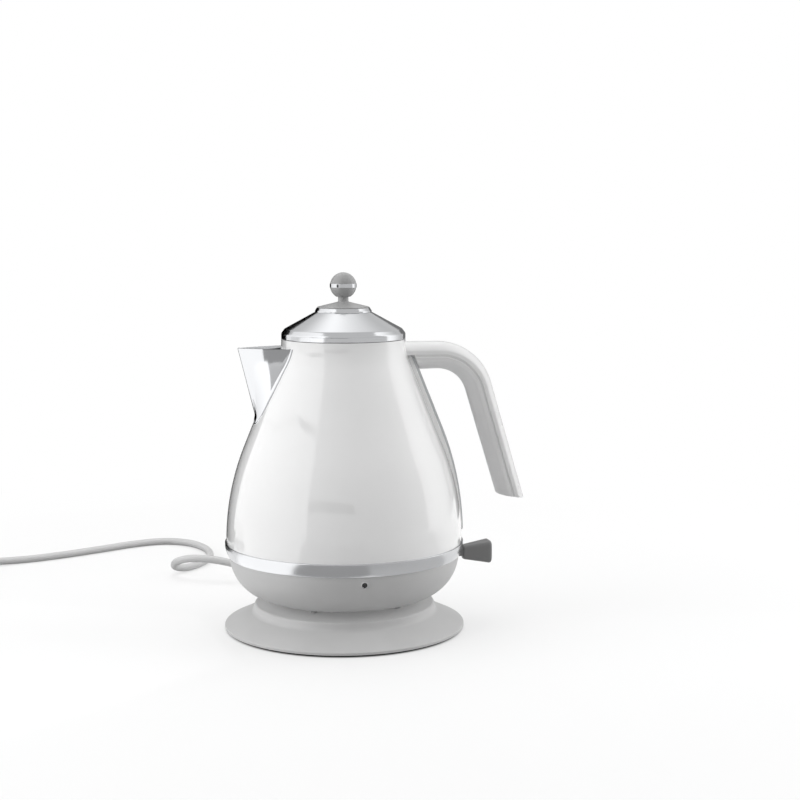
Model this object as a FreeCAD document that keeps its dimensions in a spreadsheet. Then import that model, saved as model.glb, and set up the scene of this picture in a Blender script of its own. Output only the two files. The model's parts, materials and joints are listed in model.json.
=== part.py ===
import FreeCAD, Part
import math
import os
import re
import Sketcher
from FreeCAD import Placement, Rotation, Vector

# A cordless electric jug kettle on its round power base.
# The origin is on the kettle's axis, on the table. +Z is up, the spout points
# to -X and the handle to +X. All sizes are in millimetres, angles in degrees.
# The kettle is modelled seated on its base.

SIZES = {
    # clearances
    "fit_gap": 0.15,
    "seat_gap": 0.3,
    "pin_gap": 0.05,
    # power base
    "flange_radius": 90.0,
    "flange_low": 1.8,
    "flange_edge": 1.8,
    "flange_width": 20.2,
    "flange_rise": 9.8,
    "step_slope": 3.2,
    "step_height": 5.8,
    "dome_bend": 600.0,
    "land_margin": 0.75,
    "dome_slope": 0.1787234,
    "base_wall": 2.0,
    "step_round": 1.8,
    "flange_round": 0.8,
    "base_cover_thickness": 2.0,
    "base_post_radius": 4.5,
    "base_post_inset": 20.6,
    "foot_ring_inset": 12.0,
    "foot_ring_width": 5.0,
    "foot_ring_sunk": 0.8,
    # connector on the base
    "connector_radius": 13.3,
    "connector_height": 13.3,
    "connector_groove_drop": 2.2,
    "connector_groove": 0.6,
    "skirt_width": 5.55,
    "skirt_height": 4.3,
    "skirt_edge": 0.6,
    "skirt_bend": 6.0,
    "connector_wall": 5.5,
    "recess_depth": 8.0,
    "stem_inset": 1.3,
    "stem_length": 13.6,
    "core_radius": 3.2,
    "contact_wall": 0.9,
    "contact_height": 5.5,
    "nut_width": 5.5,
    "nut_height": 4.0,
    # coupler under the kettle
    "coupler_play": 0.6,
    "coupler_lift": 0.7,
    "coupler_overlap": 1.9,
    "coupler_flange": 2.0,
    "coupler_wall": 4.3,
    "coupler_roof": 2.9,
    "coupler_headroom": 0.8,
    "coupler_pin_play": 0.4,
    "coupler_pin_length": 11.7,
    "coupler_ring_inset": 2.0,
    "coupler_ring_wall": 0.8,
    "coupler_ring_length": 7.2,
    # bottom cover of the kettle
    "bowl_inset": 2.2,
    "bowl_height": 31.7,
    "bowl_skirt": 2.8,
    "bowl_wall": 2.0,
    "recess_edge": 46.5,
    "recess_gap": 0.9,
    "socket_play": 2.2,
    "socket_collar": 3.0,
    "post_inset": 3.9,
    "post_radius": 3.7,
    "foot_inset": 7.5,
    "foot_radius": 2.2,
    "foot_height": 2.3,
    "pilot_drop": 5.8,
    "pilot_x": -2.1,
    "pilot_radius": 1.95,
    "pilot_bezel_radius": 2.45,
    "pilot_proud": 0.4,
    # trim band
    "band_proud": 1.1,
    "band_step": 1.0,
    "band_ledge": 2.0,
    "band_bend": 18.0,
    "band_height": 9.9,
    "band_lip": 1.2,
    "band_round": 0.6,
    # body
    "body_foot_radius": 88.2,
    "body_height": 151.1,
    "flare_bend": 50.0003,
    "body_wall": 1.2,
    "bulge_bend": 190.0,
    "cone_angle": 22.0,
    "collar_width": 4.8,
    "collar_height": 4.3,
    # heater and control
    "heater_gasket_width": 2.4,
    "heater_gasket_height": 1.5,
    "plate_thickness": 1.2,
    "stud_radius": 3.0,
    "stud_gap": 0.1,
    "spreader_radius": 45.0,
    "spreader_thickness": 3.0,
    "element_circle": 37.0,
    "element_radius": 3.8,
    "element_turn": 48.0,
    "element_sweep": 300.0,
    "terminal_inset": 4.0,
    "terminal_radius": 2.0,
    "terminal_length": 9.0,
    "control_radius": 27.0,
    "control_gap": 0.4,
    "control_height": 13.0,
    "control_leg_circle": 19.0,
    "control_leg_radius": 3.4,
    "bimetal_radius": 9.0,
    "bimetal_thickness": 0.8,
    "steam_tube_radius": 4.0,
    "steam_tube_wall": 0.8,
    "steam_tube_inset": 2.091,
    "steam_tube_angle": 30.0686,
    "steam_tube_drop": 19.5,
    # spout and strainer
    "spout_drop": 5.7,
    "spout_height": 56.3,
    "spout_reach": 32.8,
    "spout_rake": 13.9,
    "spout_tail": 0.9,
    "spout_half_width": 20.0,
    "spout_taper": 0.45,
    "spout_wall": 1.2,
    "spout_nose": 2.2,
    "spout_root": 3.0,
    "filter_inset": 1.0,
    "filter_rise": 8.5,
    "filter_drop": 2.8,
    "filter_thickness": 1.4,
    "filter_border": 3.0,
    "filter_bar": 1.4,
    # water gauge
    "gauge_half_width": 9.6,
    "gauge_lift": 2.4,
    "gauge_end_round": 6.0,
    "gauge_rim_proud": 1.3,
    "gauge_foot_proud": 2.6,
    "gauge_straightening": 34.0,
    "gauge_rim": 1.6,
    "window_margin": 1.6,
    "window_end_round": 4.4,
    "gasket_thickness": 0.7,
    "gauge_slot_half_width": 2.5,
    "gauge_slot_rise": 11.2,
    "gauge_slot_drop": 14.2,
    # handle
    "handle_drop": 13.3,
    "handle_reach": 50.6,
    "handle_bend": 34.0,
    "handle_splay": 33.0,
    "handle_length": 109.2,
    "handle_tip_tilt": 9.5,
    "handle_overrun": 8.0,
    "handle_tip_room": 40.0,
    "handle_half_width": 12.0,
    "handle_groove": 1.6,
    "handle_tongue_inset": 0.8,
    "handle_tongue_sink": 0.2,
    "shell_depth_root": 10.4,
    "shell_depth_tip": 9.4,
    "grip_depth_root": 10.4,
    "grip_depth_tip": 9.8,
    "handle_flank": 0.34,
    "grip_inset": 11.6,
    "bracket_half_width": 7.0,
    "bracket_thickness": 3.2,
    "bracket_overlap": 12.4,
    "bracket_plate": 3.0,
    "bracket_plate_height": 7.4,
    "handle_screw_radius": 1.6,
    "handle_screw_offset": 4.4,
    "handle_screw_rise": 4.6,
    "handle_screw_length": 11.0,
    # switch
    "lever_drop": 4.5,
    "lever_pivot_inset": 10.0,
    "lever_root_gap": 3.3,
    "lever_length": 21.6,
    "lever_root_half_height": 5.3,
    "lever_end_half_height": 8.7,
    "lever_root_half_width": 4.6,
    "lever_end_half_width": 7.2,
    "lever_corner": 2.4,
    "lever_end_round": 1.8,
    "lever_neck_half": 3.0,
    "lever_hub_radius": 4.6,
    "lever_hub_half_width": 6.8,
    "lever_tail_length": 18.0,
    "lever_tail_half_height": 1.6,
    "lever_pin_radius": 2.0,
    "lever_slot_half_width": 4.4,
    "lever_slot_drop": 7.4,
    "lever_slot_rise": 5.8,
    "bracket_ear": 2.5,
    "bracket_half_length": 5.0,
    "bracket_drop": 5.0,
    "trip_reach": 15.0,
    "trip_pin_radius": 1.5,
    "trip_hub_radius": 3.2,
    "trip_hub_half_width": 4.8,
    "trip_overlap": 3.0,
    "trip_arm_thickness": 2.0,
    "trip_arm_gap": 0.6,
    "trip_tail_length": 12.0,
    "trip_ear": 2.5,
    # lid and knob
    "lid_band": 4.0,
    "lid_shoulder_inset": 2.4,
    "lid_shoulder_rise": 3.2,
    "lid_round": 2.6,
    "lid_cone_top_radius": 21.3,
    "lid_cone_height": 12.2,
    "lid_wall": 1.4,
    "step_ring_margin": 0.3,
    "step_ring_slope": 1.4,
    "step_ring_height": 3.4,
    "step_ring_bore": 12.0,
    "liner_gap": 1.6,
    "liner_drop": 9.0,
    "liner_wall": 2.0,
    "liner_boss_radius": 6.0,
    "lid_gasket_drop": 5.1,
    "lid_gasket_height": 2.6,
    "knob_seat_margin": 0.3,
    "knob_seat_edge": 0.5,
    "knob_seat_rise": 4.3,
    "knob_neck_radius": 3.85,
    "knob_neck_length": 3.7,
    "knob_radius": 9.75,
    "knob_sink": 1.55,
    "knob_band_half_height": 1.55,
    "knob_band_proud": 0.15,
    "knob_screw_radius": 2.0,
    "knob_screw_head": 3.8,
    "knob_screw_head_height": 2.2,
    # fasteners
    "screw_radius": 1.6,
    "screw_head_radius": 3.1,
    "screw_head_height": 2.0,
    "screw_bite": 8.0,
    "screw_sink": 1.0,
    "through": 60.0,
    "cut_run": 1.0,
    # supply cord, its glands, coil and plug
    "cord_radius": 3.2,
    "cord_exit_angle": 105.0,
    "cord_rise": 4.8,
    "relief_inset": 40.0,
    "relief_reach": 26.0,
    "relief_radius": 4.4,
    "relief_tip_radius": 3.7,
    "clamp_inset": 2.0,
    "clamp_length": 9.0,
    "clamp_half_width": 11.0,
    "clamp_cap": 2.2,
    "coil_radius": 33.5,
    "coil_layer_gap": 0.6,
    "coil_heading": 185.0,
    "coil_tail": 12.8,
    "tie_turn": 40.0,
    "tie_width": 7.0,
    "tie_wall": 1.2,
    "plug_relief_length": 22.0,
    "plug_relief_wall": 0.6,
    "plug_relief_swell": 1.6,
    "plug_length": 38.0,
    "plug_half_width": 17.5,
    "plug_floor_gap": 0.2,
    "plug_corner": 6.0,
    "plug_pin_radius": 2.4,
    "plug_pin_length": 19.0,
    "plug_pin_half_spacing": 9.5,
}

# Places and sizes that follow from the sizes above.
PLACES = {
    "flange_high": "flange_low + flange_edge",
    "step_radius": "flange_radius - flange_width",
    "step_foot": "flange_high + flange_rise",
    "plateau_radius": "step_radius - step_slope",
    "plateau_edge": "step_foot + step_height",
    "land_height": "plateau_edge + (plateau_radius - land_radius) * dome_slope",
    "base_post_circle": "plateau_radius - base_post_inset",
    "foot_ring_radius": "flange_radius - foot_ring_inset",
    "connector_top": "land_height + connector_height",
    "skirt_radius": "connector_radius + skirt_width",
    "land_radius": "skirt_radius + land_margin",
    "skirt_top": "land_height + skirt_height",
    "recess_radius": "connector_radius - connector_wall",
    "stem_radius": "connector_radius - stem_inset",
    "stem_foot": "land_height - stem_length",
    "nut_radius": "stem_radius + nut_width",
    "coupler_foot": "skirt_top + coupler_lift",
    "coupler_radius": "connector_radius + coupler_play + coupler_wall",
    "socket_hole": "coupler_radius + socket_play",
    "coupler_flange_radius": "socket_hole + coupler_overlap",
    "coupler_ceiling": "connector_top + coupler_headroom",
    "coupler_top": "coupler_ceiling + coupler_roof",
    "coupler_pin_radius": "core_radius - contact_wall - coupler_pin_play",
    "coupler_pin_foot": "coupler_ceiling - coupler_pin_length",
    "coupler_ring_radius": "recess_radius - coupler_ring_inset",
    "coupler_ring_foot": "coupler_ceiling - coupler_ring_length",
    "bowl_radius": "body_foot_radius - bowl_inset",
    "bowl_bottom": "land_height - bowl_skirt",
    "bowl_top": "bowl_bottom + bowl_height",
    "post_circle": "recess_edge + post_inset",
    "foot_circle": "recess_edge + foot_inset",
    "pilot_height": "bowl_top - pilot_drop",
    "band_radius": "body_foot_radius + band_proud",
    "band_low_radius": "bowl_radius + band_step",
    "band_inner": "bowl_radius - band_ledge",
    "band_top": "bowl_top + band_height",
    "body_top": "band_top + body_height",
    "mouth_radius": (
        "body_foot_radius - (bulge_bend + flare_bend) * (1 - cos(cone_angle))"
        " - (body_height - (bulge_bend + flare_bend) * sin(cone_angle)) * tan(cone_angle)"),
    "collar_radius": "mouth_radius - collar_width",
    "collar_foot": "body_top - collar_height",
    "control_foot": "coupler_top + control_gap",
    "control_top": "control_foot + control_height",
    "steam_tube_x": "(mouth_radius - steam_tube_inset) * cos(steam_tube_angle)",
    "steam_tube_y": "(mouth_radius - steam_tube_inset) * sin(steam_tube_angle)",
    "steam_tube_top": "body_top - steam_tube_drop",
    "spout_top": "body_top - spout_drop",
    "spout_foot": "spout_top - spout_height",
    "spout_tip_radius": "mouth_radius + spout_reach",
    "filter_half_width": "spout_half_width - filter_inset",
    "filter_low": "spout_foot + filter_rise",
    "filter_high": "spout_top - filter_drop",
    "gauge_low": "band_top + gauge_lift",
    "window_half_width": "gauge_half_width - gauge_rim",
    "gauge_slot_low": "gauge_low + gauge_slot_rise",
    "gauge_slot_high": "handle_parting - gauge_slot_drop",
    "handle_parting": "body_top - handle_drop",
    "handle_corner_x": "mouth_radius + handle_reach",
    "handle_tip_x": "handle_corner_x + handle_splay",
    "handle_tip_height": "handle_parting - handle_length",
    "grip_start": "mouth_radius + grip_inset",
    "bracket_end": "grip_start + bracket_overlap",
    "lever_height": "bowl_top - lever_drop",
    "lever_pivot_x": "bowl_radius - lever_pivot_inset",
    "lever_root_x": "band_radius + lever_root_gap",
    "lever_end_x": "lever_root_x + lever_length",
    "lever_tail_x": "lever_pivot_x - lever_tail_length",
    "lever_slot_low": "lever_height - lever_slot_drop",
    "lever_slot_high": "lever_height + lever_slot_rise",
    "trip_pivot_x": "control_radius + trip_reach",
    "trip_arm_tip_x": "lever_tail_x + trip_overlap",
    "trip_tail_x": "trip_pivot_x - trip_tail_length",
    "lid_radius": "mouth_radius",
    "lid_shoulder_radius": "lid_radius - lid_shoulder_inset",
    "lid_shoulder": "body_top + seat_gap + lid_band + lid_shoulder_rise",
    "lid_cone_top": "lid_shoulder + lid_cone_height",
    "step_ring_low_radius": "lid_cone_top_radius - step_ring_margin",
    "step_ring_top_radius": "step_ring_low_radius - step_ring_slope",
    "liner_radius": "collar_radius - liner_gap",
    "liner_low": "body_top - liner_drop",
    "lid_gasket_low": "body_top - lid_gasket_drop",
    "knob_seat_radius": "step_ring_top_radius - knob_seat_margin",
    "knob_neck_top": "lid_cone_top + step_ring_height + knob_seat_rise + knob_neck_length",
    "knob_centre": "knob_neck_top + knob_radius - knob_sink",
    "cord_height": "flange_low + cord_rise",
    "relief_start": "flange_radius - relief_inset",
    "relief_end": "flange_radius + relief_reach",
    "clamp_start": "relief_start + clamp_inset",
}

# Points of the supply cord's free stretch after its gland: it arches off the table to
# a hairpin on the left, comes back along the table, turns again and runs off to the left.
CORD_ROUTE = [
    (-35.7, 133.3, 6.6),
    (-48.5, 150.5, 11.5),
    (-65.5, 160.5, 15.8),
    (-84.0, 165.5, 19.2),
    (-101.0, 172.5, 19.4),
    (-112.0, 185.0, 14.0),
    (-112.0, 198.0, 6.6),
    (-102.0, 205.0, 3.4),
    (-89.0, 217.0, 3.4),
    (-78.5, 236.0, 3.4),
    (-73.5, 259.0, 3.4),
    (-76.0, 285.0, 3.4),
    (-87.0, 311.0, 3.4),
    (-109.0, 325.0, 3.4),
    (-138.0, 318.5, 3.4),
    (-171.0, 300.0, 3.4),
    (-205.0, 283.0, 3.4),
    (-240.0, 270.0, 3.4),
    (-277.0, 263.0, 4.7),
]
COIL_START = (-316.0, 259.6, 4.7)

BASE_POST_ANGLES = (20.0, 140.0, 260.0)
KETTLE_POST_ANGLES = (90.0, 210.0, 330.0)
KETTLE_FOOT_ANGLES = (55.0, 125.0, 235.0, 305.0)
CONTROL_LEG_ANGLES = (60.0, 180.0, 300.0)
SPOUT_STATIONS = (0.0, 0.1, 0.2, 0.3, 0.4, 0.5, 0.6, 0.7, 0.8, 0.9, 0.95, 0.985)
CHANNEL_STATIONS = (-0.04, 0.1, 0.2, 0.3, 0.4, 0.5, 0.6, 0.7)
POUR_STATIONS = (0.03,) + CHANNEL_STATIONS[1:]
FILTER_COLUMNS = 7
FILTER_ROWS = 10

doc = FreeCAD.newDocument("cordless_kettle")
sizes = doc.addObject("Spreadsheet::Sheet", "sizes")
for row, (size_name, size_value) in enumerate(SIZES.items(), start=1):
    sizes.set(f"A{row}", size_name)
    sizes.set(f"B{row}", str(size_value))
    sizes.setAlias(f"B{row}", size_name)
doc.recompute()

subparts = []


def bound(formula):
    """The formula with every size's name pointing at its cell, and every place worked out."""
    def cell(word):
        name = word.group()
        if name in PLACES:
            return f"({bound(PLACES[name])})"
        return "sizes." + name if name in SIZES else name
    return re.sub(r"[a-z_]+", cell, str(formula))


def mm(formula):
    """The value of a formula of sizes, as a plain number."""
    return float(sizes.evalExpression(bound(formula)))


def keep(item, label):
    """Marks a document object as a finished sub-part under its node's name."""
    item.Label = label
    subparts.append(item)
    return item


# Outlines, turned pieces and extrusions


def arc_between(start, end, radius, turn):
    """The short arc between two points, turning left (1) or right (-1)."""
    chord = end - start
    rise = math.sqrt(max(radius ** 2 - (chord.Length / 2) ** 2, 0.0))
    side = Vector(-chord.y, chord.x, 0).normalize() * turn
    centre = (start + end) / 2 + side * rise
    first, last = (start, end) if turn > 0 else (end, start)
    begin = math.atan2(first.y - centre.y, first.x - centre.x)
    finish = math.atan2(last.y - centre.y, last.x - centre.x)
    if finish < begin:
        finish += 2 * math.pi
    return Part.ArcOfCircle(Part.Circle(centre, Vector(0, 0, 1), radius), begin, finish)


def outline(body, name, plane, path, offset=None):
    """A closed sketch on one of the body's own planes.

    Each point is (across, up), reached by a line, or (across, up, radius, turn),
    reached by an arc. All of them are formulas, bound to the sheet.
    """
    sketch = body.newObject("Sketcher::SketchObject", name)
    support = next(item for item in body.Origin.OriginFeatures if item.Role == plane)
    sketch.AttachmentSupport = (support, [""])
    sketch.MapMode = "FlatFace"
    if offset is not None:
        sketch.setExpression(".AttachmentOffset.Base.z", bound(offset))
    places = [Vector(mm(point[0]), mm(point[1]), 0) for point in path]
    ends, constraints, formulas = [], [], {}

    def datum(kind, arguments, formula):
        formulas[len(constraints)] = formula
        constraints.append(Sketcher.Constraint(kind, *arguments, mm(formula)))

    for order, point in enumerate(path):
        start, end = places[order - 1], places[order]
        if len(point) == 2:
            index = sketch.addGeometry(Part.LineSegment(start, end))
            ends.append((index, 1, 2))
            continue
        index = sketch.addGeometry(arc_between(start, end, mm(point[2]), point[3]))
        ends.append((index, 1, 2) if point[3] > 0 else (index, 2, 1))
        datum("Radius", (index,), point[2])
    for order, (point, (index, _, last)) in enumerate(zip(path, ends)):
        after, first, _ = ends[(order + 1) % len(ends)]
        constraints.append(Sketcher.Constraint("Coincident", index, last, after, first))
        for kind, axis, formula in (("DistanceX", -2, point[0]), ("DistanceY", -1, point[1])):
            if str(formula) == "0":
                constraints.append(Sketcher.Constraint("PointOnObject", index, last, axis))
            else:
                datum(kind, (-1, 1, index, last), formula)
    sketch.addConstraint(constraints)
    for order, formula in formulas.items():
        sketch.setExpression(f"Constraints[{order}]", bound(formula))
    return sketch


def turned(name, path, rounds=()):
    """A body of revolution about the kettle's axis; rounds are (radius, height, fillet)."""
    body = doc.addObject("PartDesign::Body", name)
    sketch = outline(body, name + "_outline", "XZ_Plane", path)
    feature = body.newObject("PartDesign::Revolution", name + "_turn")
    feature.Profile = sketch
    feature.ReferenceAxis = (sketch, ["V_Axis"])
    feature.Angle = 360.0
    sketch.Visibility = False
    for radius, height, fillet in rounds:
        doc.recompute()
        edges = [
            f"Edge{order}"
            for order, edge in enumerate(feature.Shape.Edges, start=1)
            if isinstance(edge.Curve, Part.Circle)
            and abs(edge.Curve.Radius - mm(radius)) < 1e-4
            and abs(edge.Curve.Center.z - mm(height)) < 1e-4
            and math.hypot(edge.Curve.Center.x, edge.Curve.Center.y) < 1e-4
        ]
        rounded = body.newObject("PartDesign::Fillet", name + "_round")
        rounded.Base = (feature, edges)
        rounded.setExpression("Radius", bound(fillet))
        feature = rounded
    return body


def ring(name, inner, outer, low, high):
    """A plain ring, or a disc where the inner radius is 0, about the kettle's axis."""
    return turned(name, [(inner, low), (outer, low), (outer, high), (inner, high)])


def pad(name, plane, path, length, offset="0"):
    """A body extruded from an outline."""
    body = doc.addObject("PartDesign::Body", name)
    sketch = outline(body, name + "_outline", plane, path, offset)
    feature = body.newObject("PartDesign::Pad", name + "_pad")
    feature.Profile = sketch
    feature.setExpression("Length", bound(length))
    sketch.Visibility = False
    return body


def placed(item, x="0", y="0", z="0"):
    """Binds the place of an item's origin to formulas."""
    for axis, formula in zip("xyz", (x, y, z)):
        item.setExpression(f".Placement.Base.{axis}", bound(formula))
    return item


TURN_TO = {
    "X": Rotation(Vector(0, 1, 0), 90),
    "Y": Rotation(Vector(1, 0, 0), -90),
    "Z": Rotation(),
}


def rod(name, radius, length, x="0", y="0", z="0", along="Z"):
    """A cylinder whose foot is at the given point."""
    item = doc.addObject("Part::Cylinder", name)
    item.Placement = Placement(Vector(), TURN_TO[along])
    item.setExpression("Radius", bound(radius))
    item.setExpression("Height", bound(length))
    return placed(item, x, y, z)


def block(name, low, high):
    """A box between two corners, each given as three formulas."""
    item = doc.addObject("Part::Box", name)
    for size, near, far in zip(("Length", "Width", "Height"), low, high):
        item.setExpression(size, bound(f"({far}) - ({near})"))
    return placed(item, *low)


def cut(name, base, *tools):
    item = doc.addObject("Part::Cut", name)
    item.Base = base
    item.Tool = tools[0] if len(tools) == 1 else fuse(name + "_tools", *tools)
    return item


def fuse(name, *pieces):
    item = doc.addObject("Part::MultiFuse", name)
    item.Shapes = list(pieces)
    return item


def common(name, *pieces):
    item = doc.addObject("Part::MultiCommon", name)
    item.Shapes = list(pieces)
    return item


def group(name, pieces):
    item = doc.addObject("Part::Compound", name)
    item.Links = list(pieces)
    return item


def shaped(name, shape):
    """A feature whose shape is worked out from the sheet's values."""
    item = doc.addObject("Part::Feature", name)
    item.Shape = shape
    item.Placement = Placement()
    return item


def polar(radius, angle):
    """Formulas of a point on a circle about the axis."""
    return f"({radius}) * cos({angle})", f"({radius}) * sin({angle})"


def rods_around(name, radius, length, circle, angles, z):
    """Equal upright cylinders on a circle about the axis."""
    return [
        rod(f"{name}_{order}", radius, length, *polar(circle, angle), z)
        for order, angle in enumerate(angles)
    ]


def screws_up(name, circle, angles, head_low, tip):
    """Upright screws on a circle, each with its head at the bottom."""
    made = []
    for order, angle in enumerate(angles):
        x, y = polar(circle, angle)
        head = rod(f"{name}_head_{order}", "screw_head_radius", "screw_head_height", x, y, head_low)
        shank = rod(f"{name}_shank_{order}", "screw_radius", f"({tip}) - ({head_low})", x, y, head_low)
        made.append(fuse(f"{name}_{order}", head, shank))
    return group(name, made)


# Profile of the body, and heights that several pieces share


def backwards(path):
    """The same path from its end to its start."""
    turned_round = [path[-1][:2]]
    for before, after in zip(path[-2::-1], path[:0:-1]):
        arc = (after[2], -after[3]) if len(after) > 2 else ()
        turned_round.append(before[:2] + arc)
    return turned_round


BULGE_RADIUS = "(body_foot_radius - bulge_bend * (1 - cos(cone_angle)))"
BULGE_TOP = "(band_top + bulge_bend * sin(cone_angle))"
FLARE_RADIUS = "(mouth_radius + flare_bend * (1 - cos(cone_angle)))"
FLARE_FOOT = "(body_top - flare_bend * sin(cone_angle))"


def bell(offset):
    """The body's profile from foot to mouth, moved outwards by an offset."""
    across, up = f"({offset}) * cos(cone_angle)", f"({offset}) * sin(cone_angle)"
    return [
        (f"body_foot_radius + ({offset})", "band_top"),
        (f"{BULGE_RADIUS} + {across}", f"{BULGE_TOP} + {up}", f"bulge_bend + ({offset})", 1),
        (f"{FLARE_RADIUS} + {across}", f"{FLARE_FOOT} + {up}"),
        (f"mouth_radius + ({offset})", "body_top", f"flare_bend - ({offset})", -1),
    ]


def bell_layer(name, inner, outer):
    """A turned layer that follows the body between two offsets."""
    return turned(name, bell(outer) + backwards(bell(inner)))


def bell_core(name, offset):
    """A solid that fills the body's profile, moved outwards by an offset."""
    return turned(name, bell(offset) + [("0", "body_top"), ("0", "band_top")])


def bell_radius(height):
    """The body's outer radius at a height."""
    angle = math.radians(mm("cone_angle"))
    if height < mm(BULGE_TOP):
        bend = mm("bulge_bend")
        rise = height - mm("band_top")
        return mm("body_foot_radius") - bend + math.sqrt(bend ** 2 - rise ** 2)
    if height < mm(FLARE_FOOT):
        return mm(BULGE_RADIUS) - (height - mm(BULGE_TOP)) * math.tan(angle)
    bend = mm("flare_bend")
    drop = max(mm("body_top") - height, 0.0)
    return mm("mouth_radius") + bend - math.sqrt(bend ** 2 - drop ** 2)


PLATE_LOW = "(band_top + heater_gasket_height)"
PLATE_RADIUS = "(body_foot_radius - body_wall - fit_gap)"
SPREADER_LOW = f"({PLATE_LOW} - spreader_thickness)"
BOWL_DEPTH = "(bowl_top - bowl_bottom)"
BOWL_FLAT = f"(bowl_radius - {BOWL_DEPTH})"
LID_LOW = "(body_top + seat_gap)"
LID_TOP_LOW = "(lid_cone_top - lid_wall)"


# Power base


def base_outline(wall, low):
    """Points of the base's skin, from its rim to its land, drawn in by a wall."""
    slope = "((step_foot - flange_high) / (flange_radius - step_radius))"
    drop = f"({wall}) * sqrt(1 + {slope}^2)"
    inner_step = f"step_radius - ({wall})"
    return [
        ("0", low),
        (f"flange_radius - ({wall})", low),
        (f"flange_radius - ({wall})", f"flange_high + ({wall}) * {slope} - {drop}"),
        (inner_step, f"step_foot + ({wall}) * {slope} - {drop}"),
        (f"plateau_radius - ({wall})", f"plateau_edge - ({wall})"),
        ("land_radius", f"land_height - ({wall})", "dome_bend", 1),
        ("0", f"land_height - ({wall})"),
    ]


def along_exit(distance):
    """Formulas of a point on the cord's way out of the base."""
    return polar(distance, "cord_exit_angle")


def exit_rod(name, radius, start, end, tip_radius=None):
    """A straight or tapered rod along the cord's way out of the base."""
    item = doc.addObject("Part::Cone", name)
    heading = Rotation(Vector(0, 0, 1), mm("cord_exit_angle"))
    item.Placement = Placement(Vector(), heading * TURN_TO["X"])
    item.setExpression("Radius1", bound(radius))
    item.setExpression("Radius2", bound(tip_radius or radius))
    item.setExpression("Height", bound(f"({end}) - ({start})"))
    return placed(item, *along_exit(start), "cord_height")


def exit_block(name, start, end, half_width, low, high):
    """A box that lies across the cord's way out of the base."""
    item = doc.addObject("Part::Box", name)
    item.Placement = Placement(Vector(), Rotation(Vector(0, 0, 1), mm("cord_exit_angle")))
    item.setExpression("Length", bound(f"({end}) - ({start})"))
    item.setExpression("Width", bound(f"2 * ({half_width})"))
    item.setExpression("Height", bound(f"({high}) - ({low})"))
    x, y = along_exit(start)
    side = (f"({half_width}) * sin(cord_exit_angle)", f"({half_width}) * cos(cord_exit_angle)")
    return placed(item, f"{x} + {side[0]}", f"{y} - {side[1]}", low)


COVER_TOP = "(flange_low + base_cover_thickness)"
CLAMP_END = "(clamp_start + clamp_length)"


def make_power_base():
    rounds = [
        ("step_radius", "step_foot", "step_round"),
        ("plateau_radius", "plateau_edge", "step_round"),
        ("flange_radius", "flange_high", "flange_round"),
    ]
    skin = turned("base_skin", base_outline("0", "flange_low"), rounds)
    hollow = turned("base_hollow", base_outline("base_wall", "0"))
    post_length = "land_height - flange_low"
    posts = rods_around(
        "base_post", "base_post_radius", post_length, "base_post_circle", BASE_POST_ANGLES, COVER_TOP
    )
    pilots = rods_around(
        "base_pilot", "screw_radius", post_length, "base_post_circle", BASE_POST_ANGLES, "0"
    )
    screw_top = f"({COVER_TOP} + screw_bite)"
    room = cut("base_room", hollow, *posts)
    screw_room = common("base_screw_room", fuse("base_pilots", *pilots),
                        ring("base_pilot_limit", "0", "flange_radius", "0", screw_top))
    stem_room = rod("base_stem_room", "stem_radius + fit_gap", "land_height")
    cord_room = exit_rod("base_cord_room", "relief_radius + fit_gap", "relief_start",
                         "flange_radius + base_wall")
    keep(cut("base_shell_cut", skin, room, screw_room, stem_room, cord_room), "base_shell")

    cover_radius = "(flange_radius - base_wall - fit_gap)"
    slope = "((step_foot - flange_high) / (flange_radius - step_radius))"
    top_radius = f"{cover_radius} - base_cover_thickness / {slope}"
    plate = turned("base_plate", [
        ("0", "flange_low"), (cover_radius, "flange_low"), (top_radius, COVER_TOP), ("0", COVER_TOP)])
    groove = ring("foot_groove", "foot_ring_radius - foot_ring_width / 2 - fit_gap",
                  "foot_ring_radius + foot_ring_width / 2 + fit_gap",
                  "flange_low", "flange_low + foot_ring_sunk")
    holes = rods_around("base_cover_hole", "screw_radius + fit_gap", COVER_TOP,
                        "base_post_circle", BASE_POST_ANGLES, "0")
    sinks = rods_around("base_cover_sink", "screw_head_radius + fit_gap", "screw_sink",
                        "base_post_circle", BASE_POST_ANGLES, "flange_low")
    cord_groove = exit_rod("cover_cord_groove", "relief_radius + fit_gap", "relief_start",
                           "flange_radius")
    keep(cut("base_cover_cut", plate, groove, *holes, *sinks, cord_groove), "base_cover")
    keep(screws_up("base_screws", "base_post_circle", BASE_POST_ANGLES,
                   "flange_low + screw_sink - screw_head_height", screw_top), "base_cover_screws")
    keep(ring("foot_ring", "foot_ring_radius - foot_ring_width / 2",
              "foot_ring_radius + foot_ring_width / 2", "0", "flange_low + foot_ring_sunk"),
         "base_foot_ring")


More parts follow.
